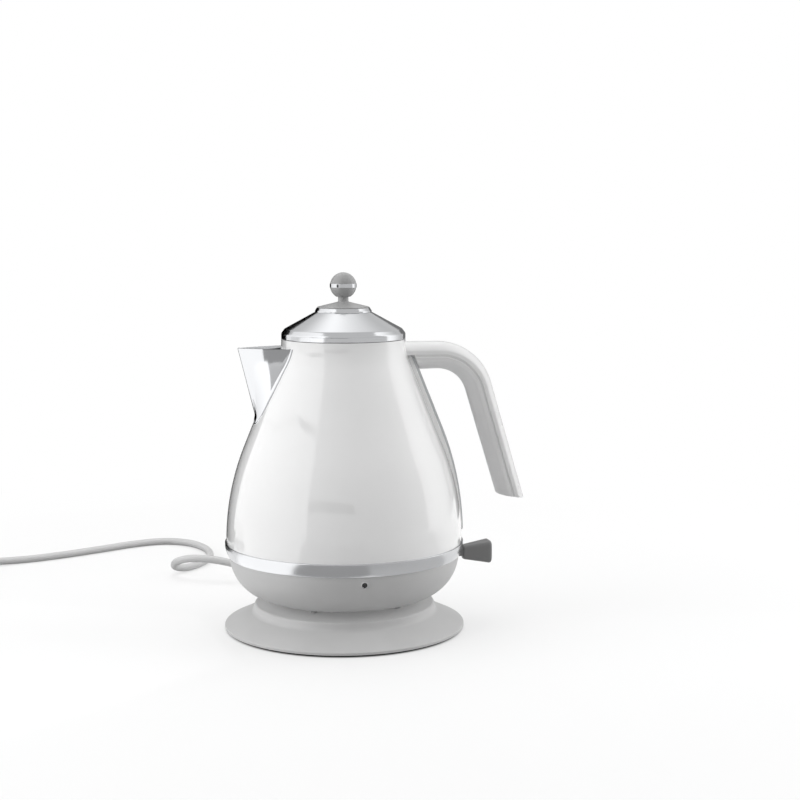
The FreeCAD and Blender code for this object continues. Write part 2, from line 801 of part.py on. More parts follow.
def make_connector():
    groove_top = "connector_top - connector_groove_drop"
    groove_low = f"{groove_top} - connector_groove"
    floor = "(connector_top - recess_depth)"
    keep(turned("connector", [
        ("core_radius", "stem_foot"),
        ("stem_radius", "stem_foot"),
        ("stem_radius", "land_height"),
        ("skirt_radius", "land_height"),
        ("skirt_radius", "land_height + skirt_edge"),
        ("connector_radius", "skirt_top", "skirt_bend", -1),
        ("connector_radius", groove_low),
        ("connector_radius - connector_groove", groove_low),
        ("connector_radius - connector_groove", groove_top),
        ("connector_radius", groove_top),
        ("connector_radius", "connector_top"),
        ("recess_radius", "connector_top"),
        ("recess_radius", floor),
        ("core_radius", floor),
    ], [("connector_radius", "connector_top", "connector_groove")]), "base_connector")
    land_low = "(land_height - base_wall)"
    keep(ring("nut", "stem_radius + pin_gap", "nut_radius", f"{land_low} - nut_height", land_low),
         "connector_nut")
    outer = ring("contact_ring", "recess_radius - contact_wall", "recess_radius - pin_gap",
                 floor, f"{floor} + contact_height")
    sleeve = ring("contact_sleeve", "core_radius - contact_wall", "core_radius - pin_gap",
                  "stem_foot", floor)
    keep(group("contacts", [outer, sleeve]), "connector_contacts")


def make_coupler():
    bore = "(connector_radius + coupler_play)"
    keep(turned("coupler", [
        (bore, "coupler_foot"),
        ("coupler_flange_radius", "coupler_foot"),
        ("coupler_flange_radius", "coupler_foot + coupler_flange"),
        ("coupler_radius", "coupler_foot + coupler_flange"),
        ("coupler_radius", "coupler_top"),
        ("0", "coupler_top"),
        ("0", "coupler_ceiling"),
        (bore, "coupler_ceiling"),
    ]), "kettle_coupler")
    pin = rod("coupler_pin", "coupler_pin_radius", "coupler_ceiling - coupler_pin_foot",
              z="coupler_pin_foot")
    tube = ring("coupler_tube", "coupler_ring_radius - coupler_ring_wall", "coupler_ring_radius",
                "coupler_ring_foot", "coupler_ceiling")
    keep(group("coupler_brass", [pin, tube]), "coupler_contacts")


# Lower housing of the kettle


def make_bottom_cover():
    under = "(land_height + recess_gap)"
    collar_top = "(coupler_foot - seat_gap)"
    collar_radius = "(socket_hole + socket_collar)"
    bowl = turned("bowl", [
        ("bowl_radius", "bowl_top"),
        (BOWL_FLAT, "bowl_bottom", BOWL_DEPTH, -1),
        ("recess_edge", "bowl_bottom"),
        ("socket_hole", under, "dome_bend", 1),
        ("socket_hole", collar_top),
        ("socket_hole", "bowl_top"),
    ])
    hollow = turned("bowl_hollow", [
        ("bowl_radius - bowl_wall", "bowl_top"),
        (BOWL_FLAT, "bowl_bottom + bowl_wall", f"{BOWL_DEPTH} - bowl_wall", -1),
        ("recess_edge", "bowl_bottom + bowl_wall"),
        (collar_radius, f"{under} + bowl_wall - seat_gap", "dome_bend", 1),
        (collar_radius, collar_top),
        ("socket_hole - cut_run", collar_top),
        ("socket_hole - cut_run", "bowl_top"),
    ])
    posts = rods_around("bowl_post", "post_radius", "bowl_top - bowl_bottom", "post_circle",
                        KETTLE_POST_ANGLES, "bowl_bottom + bowl_wall / 2")
    room = cut("bowl_room", hollow, *posts)
    holes = rods_around("bowl_hole", "screw_radius + fit_gap", BOWL_DEPTH, "post_circle",
                        KETTLE_POST_ANGLES, "bowl_bottom")
    sinks = rods_around("bowl_sink", "screw_head_radius + fit_gap", "screw_head_height + screw_sink",
                        "post_circle", KETTLE_POST_ANGLES, "bowl_bottom")
    pilot_room = rod("pilot_room", "pilot_bezel_radius + pin_gap", "bowl_wall + 4 * cut_run",
                     x="pilot_x", y="-bowl_radius - 2 * cut_run", z="pilot_height", along="Y")
    lever_room = block("bowl_lever_room",
                       ("lever_pivot_x", "-lever_slot_half_width", "lever_slot_low"),
                       ("band_radius + 2 * cut_run", "lever_slot_half_width", "bowl_top + cut_run"))
    keep(cut("bottom_cover_cut", bowl, room, *holes, *sinks, pilot_room, lever_room), "bottom_cover")
    keep(screws_up("bottom_screws", "post_circle", KETTLE_POST_ANGLES, "bowl_bottom + screw_sink",
                   "bowl_top + screw_bite"), "bottom_cover_screws")
    feet = rods_around("kettle_foot", "foot_radius", "foot_height", "foot_circle",
                       KETTLE_FOOT_ANGLES, "bowl_bottom - foot_height")
    keep(group("feet", feet), "kettle_feet")


def make_pilot_light():
    wall_y = "-bowl_radius"
    length = "bowl_wall + cut_run"
    out = f"{wall_y} - pilot_proud"
    tube = rod("bezel_tube", "pilot_bezel_radius", length, "pilot_x", out, "pilot_height", "Y")
    bore = rod("bezel_bore", "pilot_radius + pin_gap", f"{length} + 2 * cut_run",
               "pilot_x", f"{out} - cut_run", "pilot_height", "Y")
    keep(cut("bezel", tube, bore), "pilot_bezel")
    keep(rod("lens", "pilot_radius", f"{length} + 3 * cut_run", "pilot_x", f"{out} + pilot_proud / 2",
             "pilot_height", "Y"), "pilot_lens")


def make_trim_band():
    band = turned("band", [
        ("band_inner", "bowl_top"),
        ("band_low_radius", "bowl_top"),
        ("band_radius", "band_top - band_lip", "band_bend", 1),
        ("band_radius", "band_top"),
        ("band_inner", "band_top"),
    ], [("band_radius", "band_top", "band_round")])
    lever_room = block("band_lever_room",
                       ("lever_pivot_x", "-lever_slot_half_width", "bowl_top - cut_run"),
                       ("band_radius + 2 * cut_run", "lever_slot_half_width", "lever_slot_high"))
    keep(cut("trim_band_cut", band, lever_room), "trim_band")


def make_heater():
    keep(ring("plate_gasket", f"{PLATE_RADIUS} - heater_gasket_width", PLATE_RADIUS,
              "band_top", PLATE_LOW), "heater_gasket")
    disc = ring("plate", "0", PLATE_RADIUS, PLATE_LOW, f"{PLATE_LOW} + plate_thickness")
    stud_length = f"{PLATE_LOW} + plate_thickness / 2 - bowl_top - stud_gap"
    studs = rods_around("stud", "stud_radius", stud_length, "post_circle", KETTLE_POST_ANGLES,
                        "bowl_top + stud_gap")
    taps = rods_around("stud_tap", "screw_radius", "screw_bite + screw_sink", "post_circle",
                       KETTLE_POST_ANGLES, "bowl_top")
    steam_hole = rod("steam_hole", "steam_tube_radius + pin_gap", "through",
                     "steam_tube_x", "steam_tube_y", PLATE_LOW + " - cut_run")
    keep(cut("heater_plate_cut", fuse("plate_with_studs", disc, *studs), *taps, steam_hole),
         "heater_plate")
    spreader = ring("spreader", "0", "spreader_radius", SPREADER_LOW, PLATE_LOW)
    tube_room = rod("spreader_tube_room", "steam_tube_radius + cut_run", "through",
                    "steam_tube_x", "steam_tube_y", SPREADER_LOW + " - 5 * cut_run")
    keep(cut("spreader_cut", spreader, tube_room), "heat_spreader")
    element = doc.addObject("Part::Torus", "element_ring")
    element.setExpression("Radius1", bound("element_circle"))
    element.setExpression("Radius2", bound("element_radius"))
    element.setExpression("Angle3", bound("element_sweep"))
    element.Placement = Placement(Vector(), Rotation(Vector(0, 0, 1), mm("element_turn")))
    level = f"({SPREADER_LOW} - element_radius - pin_gap)"
    placed(element, z=level)
    ends = [
        rod(f"terminal_{order}", "terminal_radius", "terminal_length",
            *polar("element_circle", angle), f"{level} - terminal_length")
        for order, angle in enumerate(("element_turn + terminal_inset",
                                       "element_turn + element_sweep - terminal_inset"))
    ]
    keep(fuse("element", element, *ends), "heater_element")
    tube_length = f"(steam_tube_top - {SPREADER_LOW})"
    tube = rod("tube_outside", "steam_tube_radius", tube_length,
               "steam_tube_x", "steam_tube_y", SPREADER_LOW)
    bore = rod("tube_bore", "steam_tube_radius - steam_tube_wall", f"{tube_length} + 2 * cut_run",
               "steam_tube_x", "steam_tube_y", f"{SPREADER_LOW} - cut_run")
    keep(cut("steam_tube_cut", tube, bore), "steam_tube")


def make_control():
    body = ring("control_body", "0", "control_radius", "control_foot", "control_top")
    legs = rods_around("control_leg", "control_leg_radius", f"{SPREADER_LOW} - control_foot",
                       "control_leg_circle", CONTROL_LEG_ANGLES, "control_foot")
    ears = [
        block(f"trip_ear_{order}",
              ("control_radius - 6 * cut_run", low, "lever_height - trip_hub_radius - cut_run"),
              ("trip_pivot_x + trip_hub_radius", high, "lever_height + trip_hub_radius"))
        for order, (low, high) in enumerate((
            ("trip_hub_half_width + seat_gap", "trip_hub_half_width + seat_gap + trip_ear"),
            ("-trip_hub_half_width - seat_gap - trip_ear", "-trip_hub_half_width - seat_gap")))
    ]
    pin_room = rod("trip_pin_room", "trip_pin_radius + pin_gap / 2", "through", "trip_pivot_x",
                   "-through / 2", "lever_height", "Y")
    taps = rods_around("control_tap", "screw_radius + pin_gap", "through", "control_leg_circle",
                       CONTROL_LEG_ANGLES, "control_foot - cut_run")
    sinks = rods_around("control_sink", "screw_head_radius + fit_gap",
                        "screw_head_height + screw_sink",
                        "control_leg_circle", CONTROL_LEG_ANGLES, "control_foot")
    keep(cut("control_cut", fuse("control_block", body, *legs, *ears), pin_room, *taps, *sinks),
         "thermal_control")
    keep(screws_up("control_fixings", "control_leg_circle", CONTROL_LEG_ANGLES,
                   "control_foot + screw_sink", f"{SPREADER_LOW} - pin_gap"), "control_screws")
    keep(rod("bimetal", "bimetal_radius", "bimetal_thickness", z="control_top"), "bimetal_disc")
    half = "(trip_hub_half_width + seat_gap + trip_ear)"
    keep(rod("trip_pin_rod", "trip_pin_radius", f"2 * {half}", "trip_pivot_x", f"-{half}",
             "lever_height", "Y"), "trip_pin")


# Switch


def rounded_box(half_width, half_height, corner, level):
    """Outline of a rectangle with round corners, centred at a height."""
    w, h, c = half_width, half_height, corner
    top, low = f"{level} + {h}", f"{level} - {h}"
    return [
        (f"{w} - {c}", low),
        (w, f"{low} + {c}", c, 1),
        (w, f"{top} - {c}"),
        (f"{w} - {c}", top, c, 1),
        (f"-{w} + {c}", top),
        (f"-{w}", f"{top} - {c}", c, 1),
        (f"-{w}", f"{low} + {c}"),
        (f"-{w} + {c}", low, c, 1),
    ]


def make_switch():
    paddle = doc.addObject("PartDesign::Body", "paddle")
    root = outline(paddle, "paddle_root", "YZ_Plane", rounded_box(
        "lever_root_half_width", "lever_root_half_height", "lever_corner", "lever_height"),
        "lever_root_x")
    full = outline(paddle, "paddle_full", "YZ_Plane", rounded_box(
        "lever_end_half_width", "lever_end_half_height", "lever_corner", "lever_height"),
        "lever_end_x - lever_end_round")
    end = outline(paddle, "paddle_end", "YZ_Plane", rounded_box(
        "(lever_end_half_width - lever_end_round)", "(lever_end_half_height - lever_end_round)",
        "(lever_corner / 2)", "lever_height"), "lever_end_x")
    loft = paddle.newObject("PartDesign::AdditiveLoft", "paddle_loft")
    loft.Profile = root
    loft.Sections = [full, end]
    loft.Ruled = True

    neck = block("lever_neck", ("lever_pivot_x", "-lever_neck_half", "lever_height - lever_neck_half"),
                 ("lever_root_x + cut_run", "lever_neck_half", "lever_height + lever_neck_half"))
    tail = block("lever_tail",
                 ("lever_tail_x", "-lever_neck_half", "lever_height - lever_tail_half_height"),
                 ("lever_pivot_x", "lever_neck_half", "lever_height + lever_tail_half_height"))
    hub = rod("lever_hub", "lever_hub_radius", "2 * lever_hub_half_width", "lever_pivot_x",
              "-lever_hub_half_width", "lever_height", "Y")
    bore = rod("lever_bore", "lever_pin_radius + pin_gap", "4 * lever_hub_half_width",
               "lever_pivot_x", "-2 * lever_hub_half_width", "lever_height", "Y")
    keep(cut("switch_lever_cut", fuse("lever_solid", paddle, neck, tail, hub), bore), "switch_lever")

    inner, outer = "(lever_hub_half_width + seat_gap)", "(lever_hub_half_width + seat_gap + bracket_ear)"
    front, back = "lever_pivot_x - bracket_half_length", "lever_pivot_x + bracket_half_length"
    bridge = block("bracket_bridge", (front, f"-{outer}", f"{PLATE_LOW} - bracket_ear"),
                   (back, outer, PLATE_LOW))
    foot = "lever_height - bracket_drop"
    ears = [
        block("bracket_ear_far", (front, inner, foot), (back, outer, PLATE_LOW)),
        block("bracket_ear_near", (front, f"-{outer}", foot), (back, f"-{inner}", PLATE_LOW)),
    ]
    pin_room = rod("lever_pin_room", "lever_pin_radius + pin_gap / 2", f"4 * {outer}",
                   "lever_pivot_x", f"-2 * {outer}", "lever_height", "Y")
    keep(cut("lever_bracket_cut", fuse("lever_bracket_solid", bridge, *ears), pin_room),
         "lever_bracket")
    keep(rod("lever_pin_rod", "lever_pin_radius", f"2 * {outer}", "lever_pivot_x", f"-{outer}",
             "lever_height", "Y"), "lever_pin")

    arm_low = "lever_height + lever_tail_half_height + trip_arm_gap"
    arm = block("trip_arm", ("trip_pivot_x", "-lever_neck_half", arm_low),
                ("trip_arm_tip_x", "lever_neck_half", f"{arm_low} + trip_arm_thickness"))
    trip_tail = block(
        "trip_tail", ("trip_tail_x", "-lever_neck_half", "lever_height - trip_arm_thickness / 2"),
        ("trip_pivot_x", "lever_neck_half", "lever_height + trip_arm_thickness / 2"))
    trip_hub = rod("trip_hub", "trip_hub_radius", "2 * trip_hub_half_width", "trip_pivot_x",
                   "-trip_hub_half_width", "lever_height", "Y")
    trip_bore = rod("trip_bore", "trip_pin_radius + pin_gap", "4 * trip_hub_half_width",
                    "trip_pivot_x", "-2 * trip_hub_half_width", "lever_height", "Y")
    keep(cut("trip_rocker_cut", fuse("trip_solid", arm, trip_tail, trip_hub), trip_bore), "trip_rocker")


# Body, spout and strainer


def spout_nose(station):
    """Distance of the nose from the axis: a straight raked edge that fades into the body."""
    top, foot = mm("spout_top"), mm("spout_foot")
    tail = mm("spout_tail")
    height = top - station * (top - foot)
    if station <= tail:
        return mm("spout_tip_radius") - (top - height) * math.tan(math.radians(mm("spout_rake")))
    proud = spout_nose(tail) - bell_radius(top - tail * (top - foot))
    return bell_radius(height) + proud * (1 - station) / (1 - tail)


def spout_section(station, inset):
    """The spout's level outline at a station from its lip (0) to its foot (1).

    The half width is drawn in by the taper and closes as sqrt(1 - s^8) at the foot.
    """
    top, foot = mm("spout_top"), mm("spout_foot")
    height = top - station * (top - foot)
    share = max(station, 0.0)
    skin = bell_radius(height)
    nose = spout_nose(station) - 1.9 * inset
    half = mm("spout_half_width") * (1 - mm("spout_taper") * share) * math.sqrt(1 - share ** 8)
    half -= 1.2 * inset
    seam_x = math.sqrt(skin ** 2 - half ** 2)
    depth = (skin - mm("spout_root")) / skin
    blunt = min(mm("spout_nose"), 0.4 * half)
    spread = math.atan2(half, nose - seam_x)
    sagitta = blunt * math.tan((math.pi / 2 - spread) / 2)
    corners = [
        Vector(-seam_x * depth, half * depth, height),
        Vector(-seam_x, half, height),
        Vector(-nose + sagitta, blunt, height),
    ]
    others = [Vector(point.x, -point.y, point.z) for point in reversed(corners)]
    edges = [
        Part.makeLine(corners[0], corners[1]),
        Part.makeLine(corners[1], corners[2]),
        Part.Arc(corners[2], Vector(-nose, 0, height), others[0]).toShape(),
        Part.makeLine(others[0], others[1]),
        Part.makeLine(others[1], others[2]),
        Part.makeLine(others[2], corners[0]),
    ]
    return Part.Wire(edges)


def spout_loft(stations, inset):
    return Part.makeLoft([spout_section(station, inset) for station in stations], True, True)


def make_body():
    shell = bell_layer("body_layer", "-body_wall", "0")
    channel = shaped("spout_channel", spout_loft(CHANNEL_STATIONS, mm("spout_wall")))
    pour_hole = shaped("pour_hole", spout_loft(POUR_STATIONS, mm("spout_wall")))
    slot = pad("gauge_slot", "YZ_Plane", gauge_outline(
        "gauge_slot_half_width", "gauge_slot_low", "gauge_slot_high", "gauge_slot_half_width"),
        "flange_radius * 2")
    holes = handle_rods("body_screw_hole", "handle_screw_radius + fit_gap", "flange_radius", "0")
    keep(cut("body_shell_cut", shell, pour_hole, slot, *holes), "body_shell")
    wall = "(mouth_radius - body_wall - pin_gap)"
    keep(ring("collar", "collar_radius", wall, "collar_foot", "body_top - pin_gap"), "mouth_collar")

    beak = shaped("spout_beak", spout_loft(SPOUT_STATIONS, 0.0))
    keep(cut("spout_cut", beak, bell_core("spout_seat", "pin_gap"), channel), "spout")

    outer = "(-body_wall - pin_gap)"
    layer = bell_layer("filter_layer", f"{outer} - filter_thickness", outer)
    panel = pad("filter_panel", "YZ_Plane", [
        ("-filter_half_width", "filter_low"), ("filter_half_width", "filter_low"),
        ("filter_half_width", "filter_high"), ("-filter_half_width", "filter_high")],
        "flange_radius", "-flange_radius")
    width = 2 * (mm("filter_half_width") - mm("filter_border"))
    height = mm("filter_high") - mm("filter_low") - 2 * mm("filter_border")
    bar = mm("filter_bar")
    gap_y = (width - bar * (FILTER_COLUMNS - 1)) / FILTER_COLUMNS
    gap_z = (height - bar * (FILTER_ROWS - 1)) / FILTER_ROWS
    corner = Vector(-mm("flange_radius"), -width / 2, mm("filter_low") + mm("filter_border"))
    gaps = [
        Part.makeBox(mm("flange_radius"), gap_y, gap_z,
                     corner + Vector(0, column * (gap_y + bar), line * (gap_z + bar)))
        for column in range(FILTER_COLUMNS)
        for line in range(FILTER_ROWS)
    ]
    mesh_room = shaped("filter_gaps", Part.makeCompound(gaps))
    keep(cut("filter_cut", common("filter_blank", layer, panel), mesh_room), "spout_filter")


# Water gauge


def gauge_outline(half_width, low, high, end_round):
    """An upright strip with round corners at both ends."""
    w, c = half_width, end_round
    return [
        (f"{w} - {c} * 0.98", low),
        (w, f"({low}) + {c}", f"{c}", 1),
        (w, f"({high}) - {c}"),
        (f"{w} - {c} * 0.98", high, f"{c}", 1),
        (f"-{w} + {c} * 0.98", high),
        (f"-{w}", f"({high}) - {c}", f"{c}", 1),
        (f"-{w}", f"({low}) + {c}"),
        (f"-{w} + {c} * 0.98", low, f"{c}", 1),
    ]


def make_gauge():
    reach = "flange_radius * 2"
    high = "(handle_parting + handle_groove / 2 - seat_gap)"
    low_window, high_window = "(gauge_low + window_margin)", f"({high} - window_margin)"
    rim = common(
        "rim_blank",
        bell_layer("rim_layer", "pin_gap", "gauge_rim_proud"),
        pad("rim_strip", "YZ_Plane", gauge_outline(
            "gauge_half_width", "gauge_low", high, "gauge_end_round"), reach))
    window_room = pad("window_room", "YZ_Plane", gauge_outline(
        "(window_half_width + pin_gap)", f"{low_window} - pin_gap", f"{high_window} + pin_gap",
        "window_end_round"), reach)
    keep(cut("gauge_frame_cut", rim, window_room), "gauge_frame")

    bend = "(bulge_bend + gauge_straightening)"
    foot_radius = "(body_foot_radius + gauge_foot_proud)"
    bulge_radius = f"({foot_radius} - {bend} * (1 - cos(cone_angle)))"
    bulge_top = f"(band_top + {bend} * sin(cone_angle))"
    core = turned("window_core", [
        ("0", "band_top"),
        (foot_radius, "band_top"),
        (bulge_radius, bulge_top, bend, 1),
        (f"{bulge_radius} - ({high} - {bulge_top}) * tan(cone_angle)", high),
        ("0", high),
    ])
    window = gauge_outline("window_half_width", low_window, high_window, "window_end_round")
    pane = common("window_blank", core, pad("window_strip", "YZ_Plane", window, reach))
    back = bell_core("window_back", "gasket_thickness + 2 * pin_gap")
    keep(cut("gauge_window_cut", pane, back), "gauge_window")
    seal = common(
        "seal_blank",
        bell_layer("seal_layer", "pin_gap", "pin_gap + gasket_thickness"),
        pad("seal_strip", "YZ_Plane", window, reach))
    seal_room = pad("seal_room", "YZ_Plane", gauge_outline(
        "(gauge_slot_half_width + fit_gap)", "gauge_slot_low - fit_gap",
        "gauge_slot_high + fit_gap", "gauge_slot_half_width"), reach)
    keep(cut("gauge_gasket_cut", seal, seal_room), "gauge_gasket")


# Handle

HANDLE_SEAT = "(handle_parting + handle_groove / 2)"
HANDLE_SCREW_HEIGHT = f"({HANDLE_SEAT} + handle_screw_rise)"


def handle_rods(name, radius, length, start):
    """The pair of level cylinders on the handle's fixing points."""
    return [
        rod(f"{name}_{order}", radius, length, start, f"{side} * handle_screw_offset",
            HANDLE_SCREW_HEIGHT, "X")
        for order, side in enumerate((1, -1))
    ]


def handle_path(start_x):
    """Line, bend and line along the handle's parting, run on past its slanted tip."""
    corner = Vector(mm("handle_corner_x"), 0, mm("handle_parting"))
    tip = Vector(mm("handle_tip_x"), 0, mm("handle_tip_height"))
    start = Vector(start_x, 0, corner.z)
    down = (tip - corner).normalize()
    turn = math.acos(down.x)
    bend = mm("handle_bend")
    reach = bend * math.tan(turn / 2)
    centre = corner + Vector(-reach, 0, -bend)
    arc_start, arc_end = corner + Vector(-reach, 0, 0), corner + down * reach
    middle = centre + (corner - centre).normalize() * bend
    end = tip + down * mm("handle_overrun")
    edges = [
        Part.makeLine(start, arc_start),
        Part.Arc(arc_start, middle, arc_end).toShape(),
        Part.makeLine(arc_end, end),
    ]
    out = Vector(-down.z, 0, down.x)
    return Part.Wire(edges), (start, Vector(0, 0, 1)), (end, out)


def handle_section(place, out, half_width, near, depth):
    """A D-shaped section: flat at its near level, crowned at its depth."""
    side = Vector(0, 1, 0)
    flank = near + (depth - near) * mm("handle_flank")

    def at(across, level):
        return place + side * across + out * level

    edges = [
        Part.makeLine(at(-half_width, near), at(-half_width, flank)),
        Part.Arc(at(-half_width, flank), at(0, depth), at(half_width, flank)).toShape(),
        Part.makeLine(at(half_width, flank), at(half_width, near)),
        Part.makeLine(at(half_width, near), at(-half_width, near)),
    ]
    return Part.Wire(edges)


def handle_sweep(start_x, near, depth_root, depth_tip):
    path, (root, root_out), (tip, tip_out) = handle_path(start_x)
    half = mm("handle_half_width")
    sweep = Part.BRepOffsetAPI.MakePipeShell(path)
    sweep.add(handle_section(root, root_out, half, near, depth_root))
    sweep.add(handle_section(tip, tip_out, half, near, depth_tip))
    sweep.build()
    sweep.makeSolid()
    return sweep.shape()


def make_handle():
    groove = mm("handle_groove") / 2
    outer = handle_sweep(mm("mouth_radius") / 2, groove, mm("shell_depth_root"), mm("shell_depth_tip"))
    white = shaped("handle_outer", outer)
    start = mm("grip_start")
    inner = handle_sweep(start, -groove, -mm("grip_depth_root"), -mm("grip_depth_tip"))
    grey = shaped("handle_inner", inner.fuse(handle_tongue(start, groove)))
    seat = bell_core("handle_seat", "pin_gap")
    below_tip = tip_block("2 * handle_tip_room", "2 * handle_tip_room", "handle_tip_room")

    flange_x = "(mouth_radius + bracket_plate / 2)"
    bar = block("bracket_bar", (flange_x, "-bracket_half_width", HANDLE_SEAT),
                ("bracket_end", "bracket_half_width", f"{HANDLE_SEAT} + bracket_thickness"))
    plate = block("bracket_upright", (flange_x, "-bracket_half_width", HANDLE_SEAT),
                  (f"{flange_x} + bracket_plate", "bracket_half_width",
                   f"{HANDLE_SEAT} + bracket_plate_height"))
    metal = cut("bracket_metal", fuse("bracket_blank", bar, plate), bell_core("bracket_seat", "pin_gap"))
    wall_x = ("sqrt((mouth_radius - body_wall)^2 - (handle_screw_offset + screw_head_radius)^2)"
              " - pin_gap")
    head_x = f"({wall_x} - screw_head_height)"
    shanks = handle_rods("handle_shank", "handle_screw_radius", "handle_screw_length", head_x)
    heads = handle_rods("handle_head", "screw_head_radius", "screw_head_height", head_x)
    bores = handle_rods("bracket_bore", "handle_screw_radius + pin_gap",
                        "handle_screw_length + seat_gap", head_x)
    keep(cut("handle_bracket_cut", metal, *bores), "handle_bracket")
    bar_room = block("bar_room", ("0", "-bracket_half_width - pin_gap", "handle_parting"),
                     ("bracket_end + pin_gap", "bracket_half_width + pin_gap",
                      f"{HANDLE_SEAT} + bracket_thickness + pin_gap"))
    plate_room = block("plate_room", ("0", "-bracket_half_width - pin_gap", "handle_parting"),
                       (f"{flange_x} + bracket_plate + pin_gap", "bracket_half_width + pin_gap",
                        f"{HANDLE_SEAT} + bracket_plate_height + pin_gap"))
    keep(cut("handle_shell_cut", white, seat, bar_room, plate_room, below_tip, *bores), "handle_shell")
    keep(cut("handle_grip_cut", grey, below_tip), "handle_grip")
    screws = [fuse(f"handle_screw_{order}", *pair) for order, pair in enumerate(zip(heads, shanks))]
    keep(group("handle_fixings", screws), "handle_screws")


def tip_block(length, width, height):
    """A box whose slanted top face ends the handle."""
    item = doc.addObject("Part::Box", "handle_tip_room")
    item.Placement = Placement(Vector(), Rotation(Vector(0, 1, 0), mm("handle_tip_tilt")))
    for name, size in zip(("Length", "Width", "Height"), (length, width, height)):
        item.setExpression(name, bound(size))
    level, rise = "cos(handle_tip_tilt)", "sin(handle_tip_tilt)"
    return placed(
        item,
        f"handle_tip_x - {length} / 2 * {level} - {height} * {rise}",
        f"-{width} / 2",
        f"handle_tip_height + {length} / 2 * {rise} - {height} * {level}")


def handle_tongue(start_x, groove):
    """The narrower strip that fills the groove between the two halves of the handle."""
    path, (root, root_out), (tip, tip_out) = handle_path(start_x)
    half = mm("handle_half_width") - mm("handle_tongue_inset")
    low = -groove - mm("handle_tongue_sink")
    side = Vector(0, 1, 0)
    sweep = Part.BRepOffsetAPI.MakePipeShell(path)
    for place, out in ((root, root_out), (tip, tip_out)):
        corners = [
            place + side * across + out * level
            for across, level in ((-half, low), (half, low), (half, groove), (-half, groove))
        ]
        sweep.add(Part.makePolygon(corners + corners[:1]))
    sweep.build()
    sweep.makeSolid()
    return sweep.shape()


# Lid and knob


def make_lid():
    band_top = f"{LID_LOW} + lid_band"
    keep(turned("lid", [
        ("lid_radius", LID_LOW),
        ("lid_radius", band_top),
        ("lid_shoulder_radius", "lid_shoulder"),
        ("lid_cone_top_radius", "lid_cone_top"),
        ("knob_screw_radius + fit_gap", "lid_cone_top"),
        ("knob_screw_radius + fit_gap", LID_TOP_LOW),
        ("lid_cone_top_radius - lid_wall / 4", LID_TOP_LOW),
        ("lid_shoulder_radius - lid_wall", "lid_shoulder - lid_wall"),
        ("lid_radius - lid_wall", f"{band_top} - lid_wall / 2"),
        ("lid_radius - lid_wall", LID_LOW),
    ], [("lid_radius", band_top, "lid_round"),
        ("lid_shoulder_radius", "lid_shoulder", "lid_round")]), "lid_shell")
    ring_top = "(lid_cone_top + step_ring_height)"
    keep(turned("step_ring", [
        ("step_ring_bore", "lid_cone_top"),
        ("step_ring_low_radius", "lid_cone_top"),
        ("step_ring_low_radius", "lid_cone_top + step_ring_height / 3"),
        ("step_ring_top_radius", ring_top),
        ("step_ring_bore", ring_top),
    ]), "lid_step_ring")
    floor = "(liner_low + liner_wall)"
    rim_top = "(lid_shoulder - lid_wall - seat_gap)"
    keep(turned("liner", [
        ("knob_screw_radius + fit_gap", "liner_low"),
        ("liner_radius", "liner_low"),
        ("liner_radius", rim_top),
        ("liner_radius - liner_wall", rim_top),
        ("liner_radius - liner_wall", floor),
        ("liner_boss_radius", floor),
        ("liner_boss_radius", LID_TOP_LOW),
        ("knob_screw_radius + fit_gap", LID_TOP_LOW),
    ]), "lid_liner")
    keep(ring("lid_seal", "liner_radius + pin_gap", "collar_radius - seat_gap - pin_gap",
              "lid_gasket_low", "lid_gasket_low + lid_gasket_height"), "lid_gasket")
    bore = "(knob_screw_radius + fit_gap)"
    neck_foot = f"{ring_top} + knob_seat_rise"
    keep(turned("seat", [
        (bore, ring_top),
        ("knob_seat_radius", ring_top),
        ("knob_seat_radius", f"{ring_top} + knob_seat_edge"),
        ("knob_neck_radius", neck_foot),
        ("knob_neck_radius", "knob_neck_top"),
        (bore, "knob_neck_top"),
    ], [("knob_neck_radius", neck_foot, "knob_seat_edge")]), "knob_seat")
    make_knob(bore)


def make_knob(bore):
    """The ball: two caps with a plain ring between them."""
    low, high = "(knob_centre - knob_band_half_height)", "(knob_centre + knob_band_half_height)"
    cap_radius = "sqrt(knob_radius^2 - knob_band_half_height^2)"
    foot_radius = "sqrt(knob_radius^2 - (knob_centre - knob_neck_top)^2)"
    keep(turned("lower_cap", [
        (bore, "knob_neck_top"),
        (foot_radius, "knob_neck_top"),
        (cap_radius, low, "knob_radius", 1),
        (bore, low),
    ]), "knob_lower")
    keep(turned("equator", [
        (bore, low),
        ("knob_radius + knob_band_proud", low),
        ("knob_radius + knob_band_proud", high),
        (bore, high),
    ], [("knob_radius + knob_band_proud", low, "knob_band_proud"),
        ("knob_radius + knob_band_proud", high, "knob_band_proud")]), "knob_band")
    screw_top = f"({high} + knob_radius / 2)"
    upper = turned("upper_cap", [
        ("0", high),
        (cap_radius, high),
        ("0", "knob_centre + knob_radius", "knob_radius", 1),
    ])
    tap = rod("knob_tap", "knob_screw_radius", f"{screw_top} - {high}", z=high)
    keep(cut("upper_cap_cut", upper, tap), "knob_upper")
    shank = rod("knob_shank", "knob_screw_radius", f"{screw_top} - liner_low", z="liner_low")
    head = rod("knob_head", "knob_screw_head", "knob_screw_head_height",
               z="liner_low - knob_screw_head_height")
    keep(fuse("knob_screw_solid", shank, head), "knob_screw")


# Supply cord


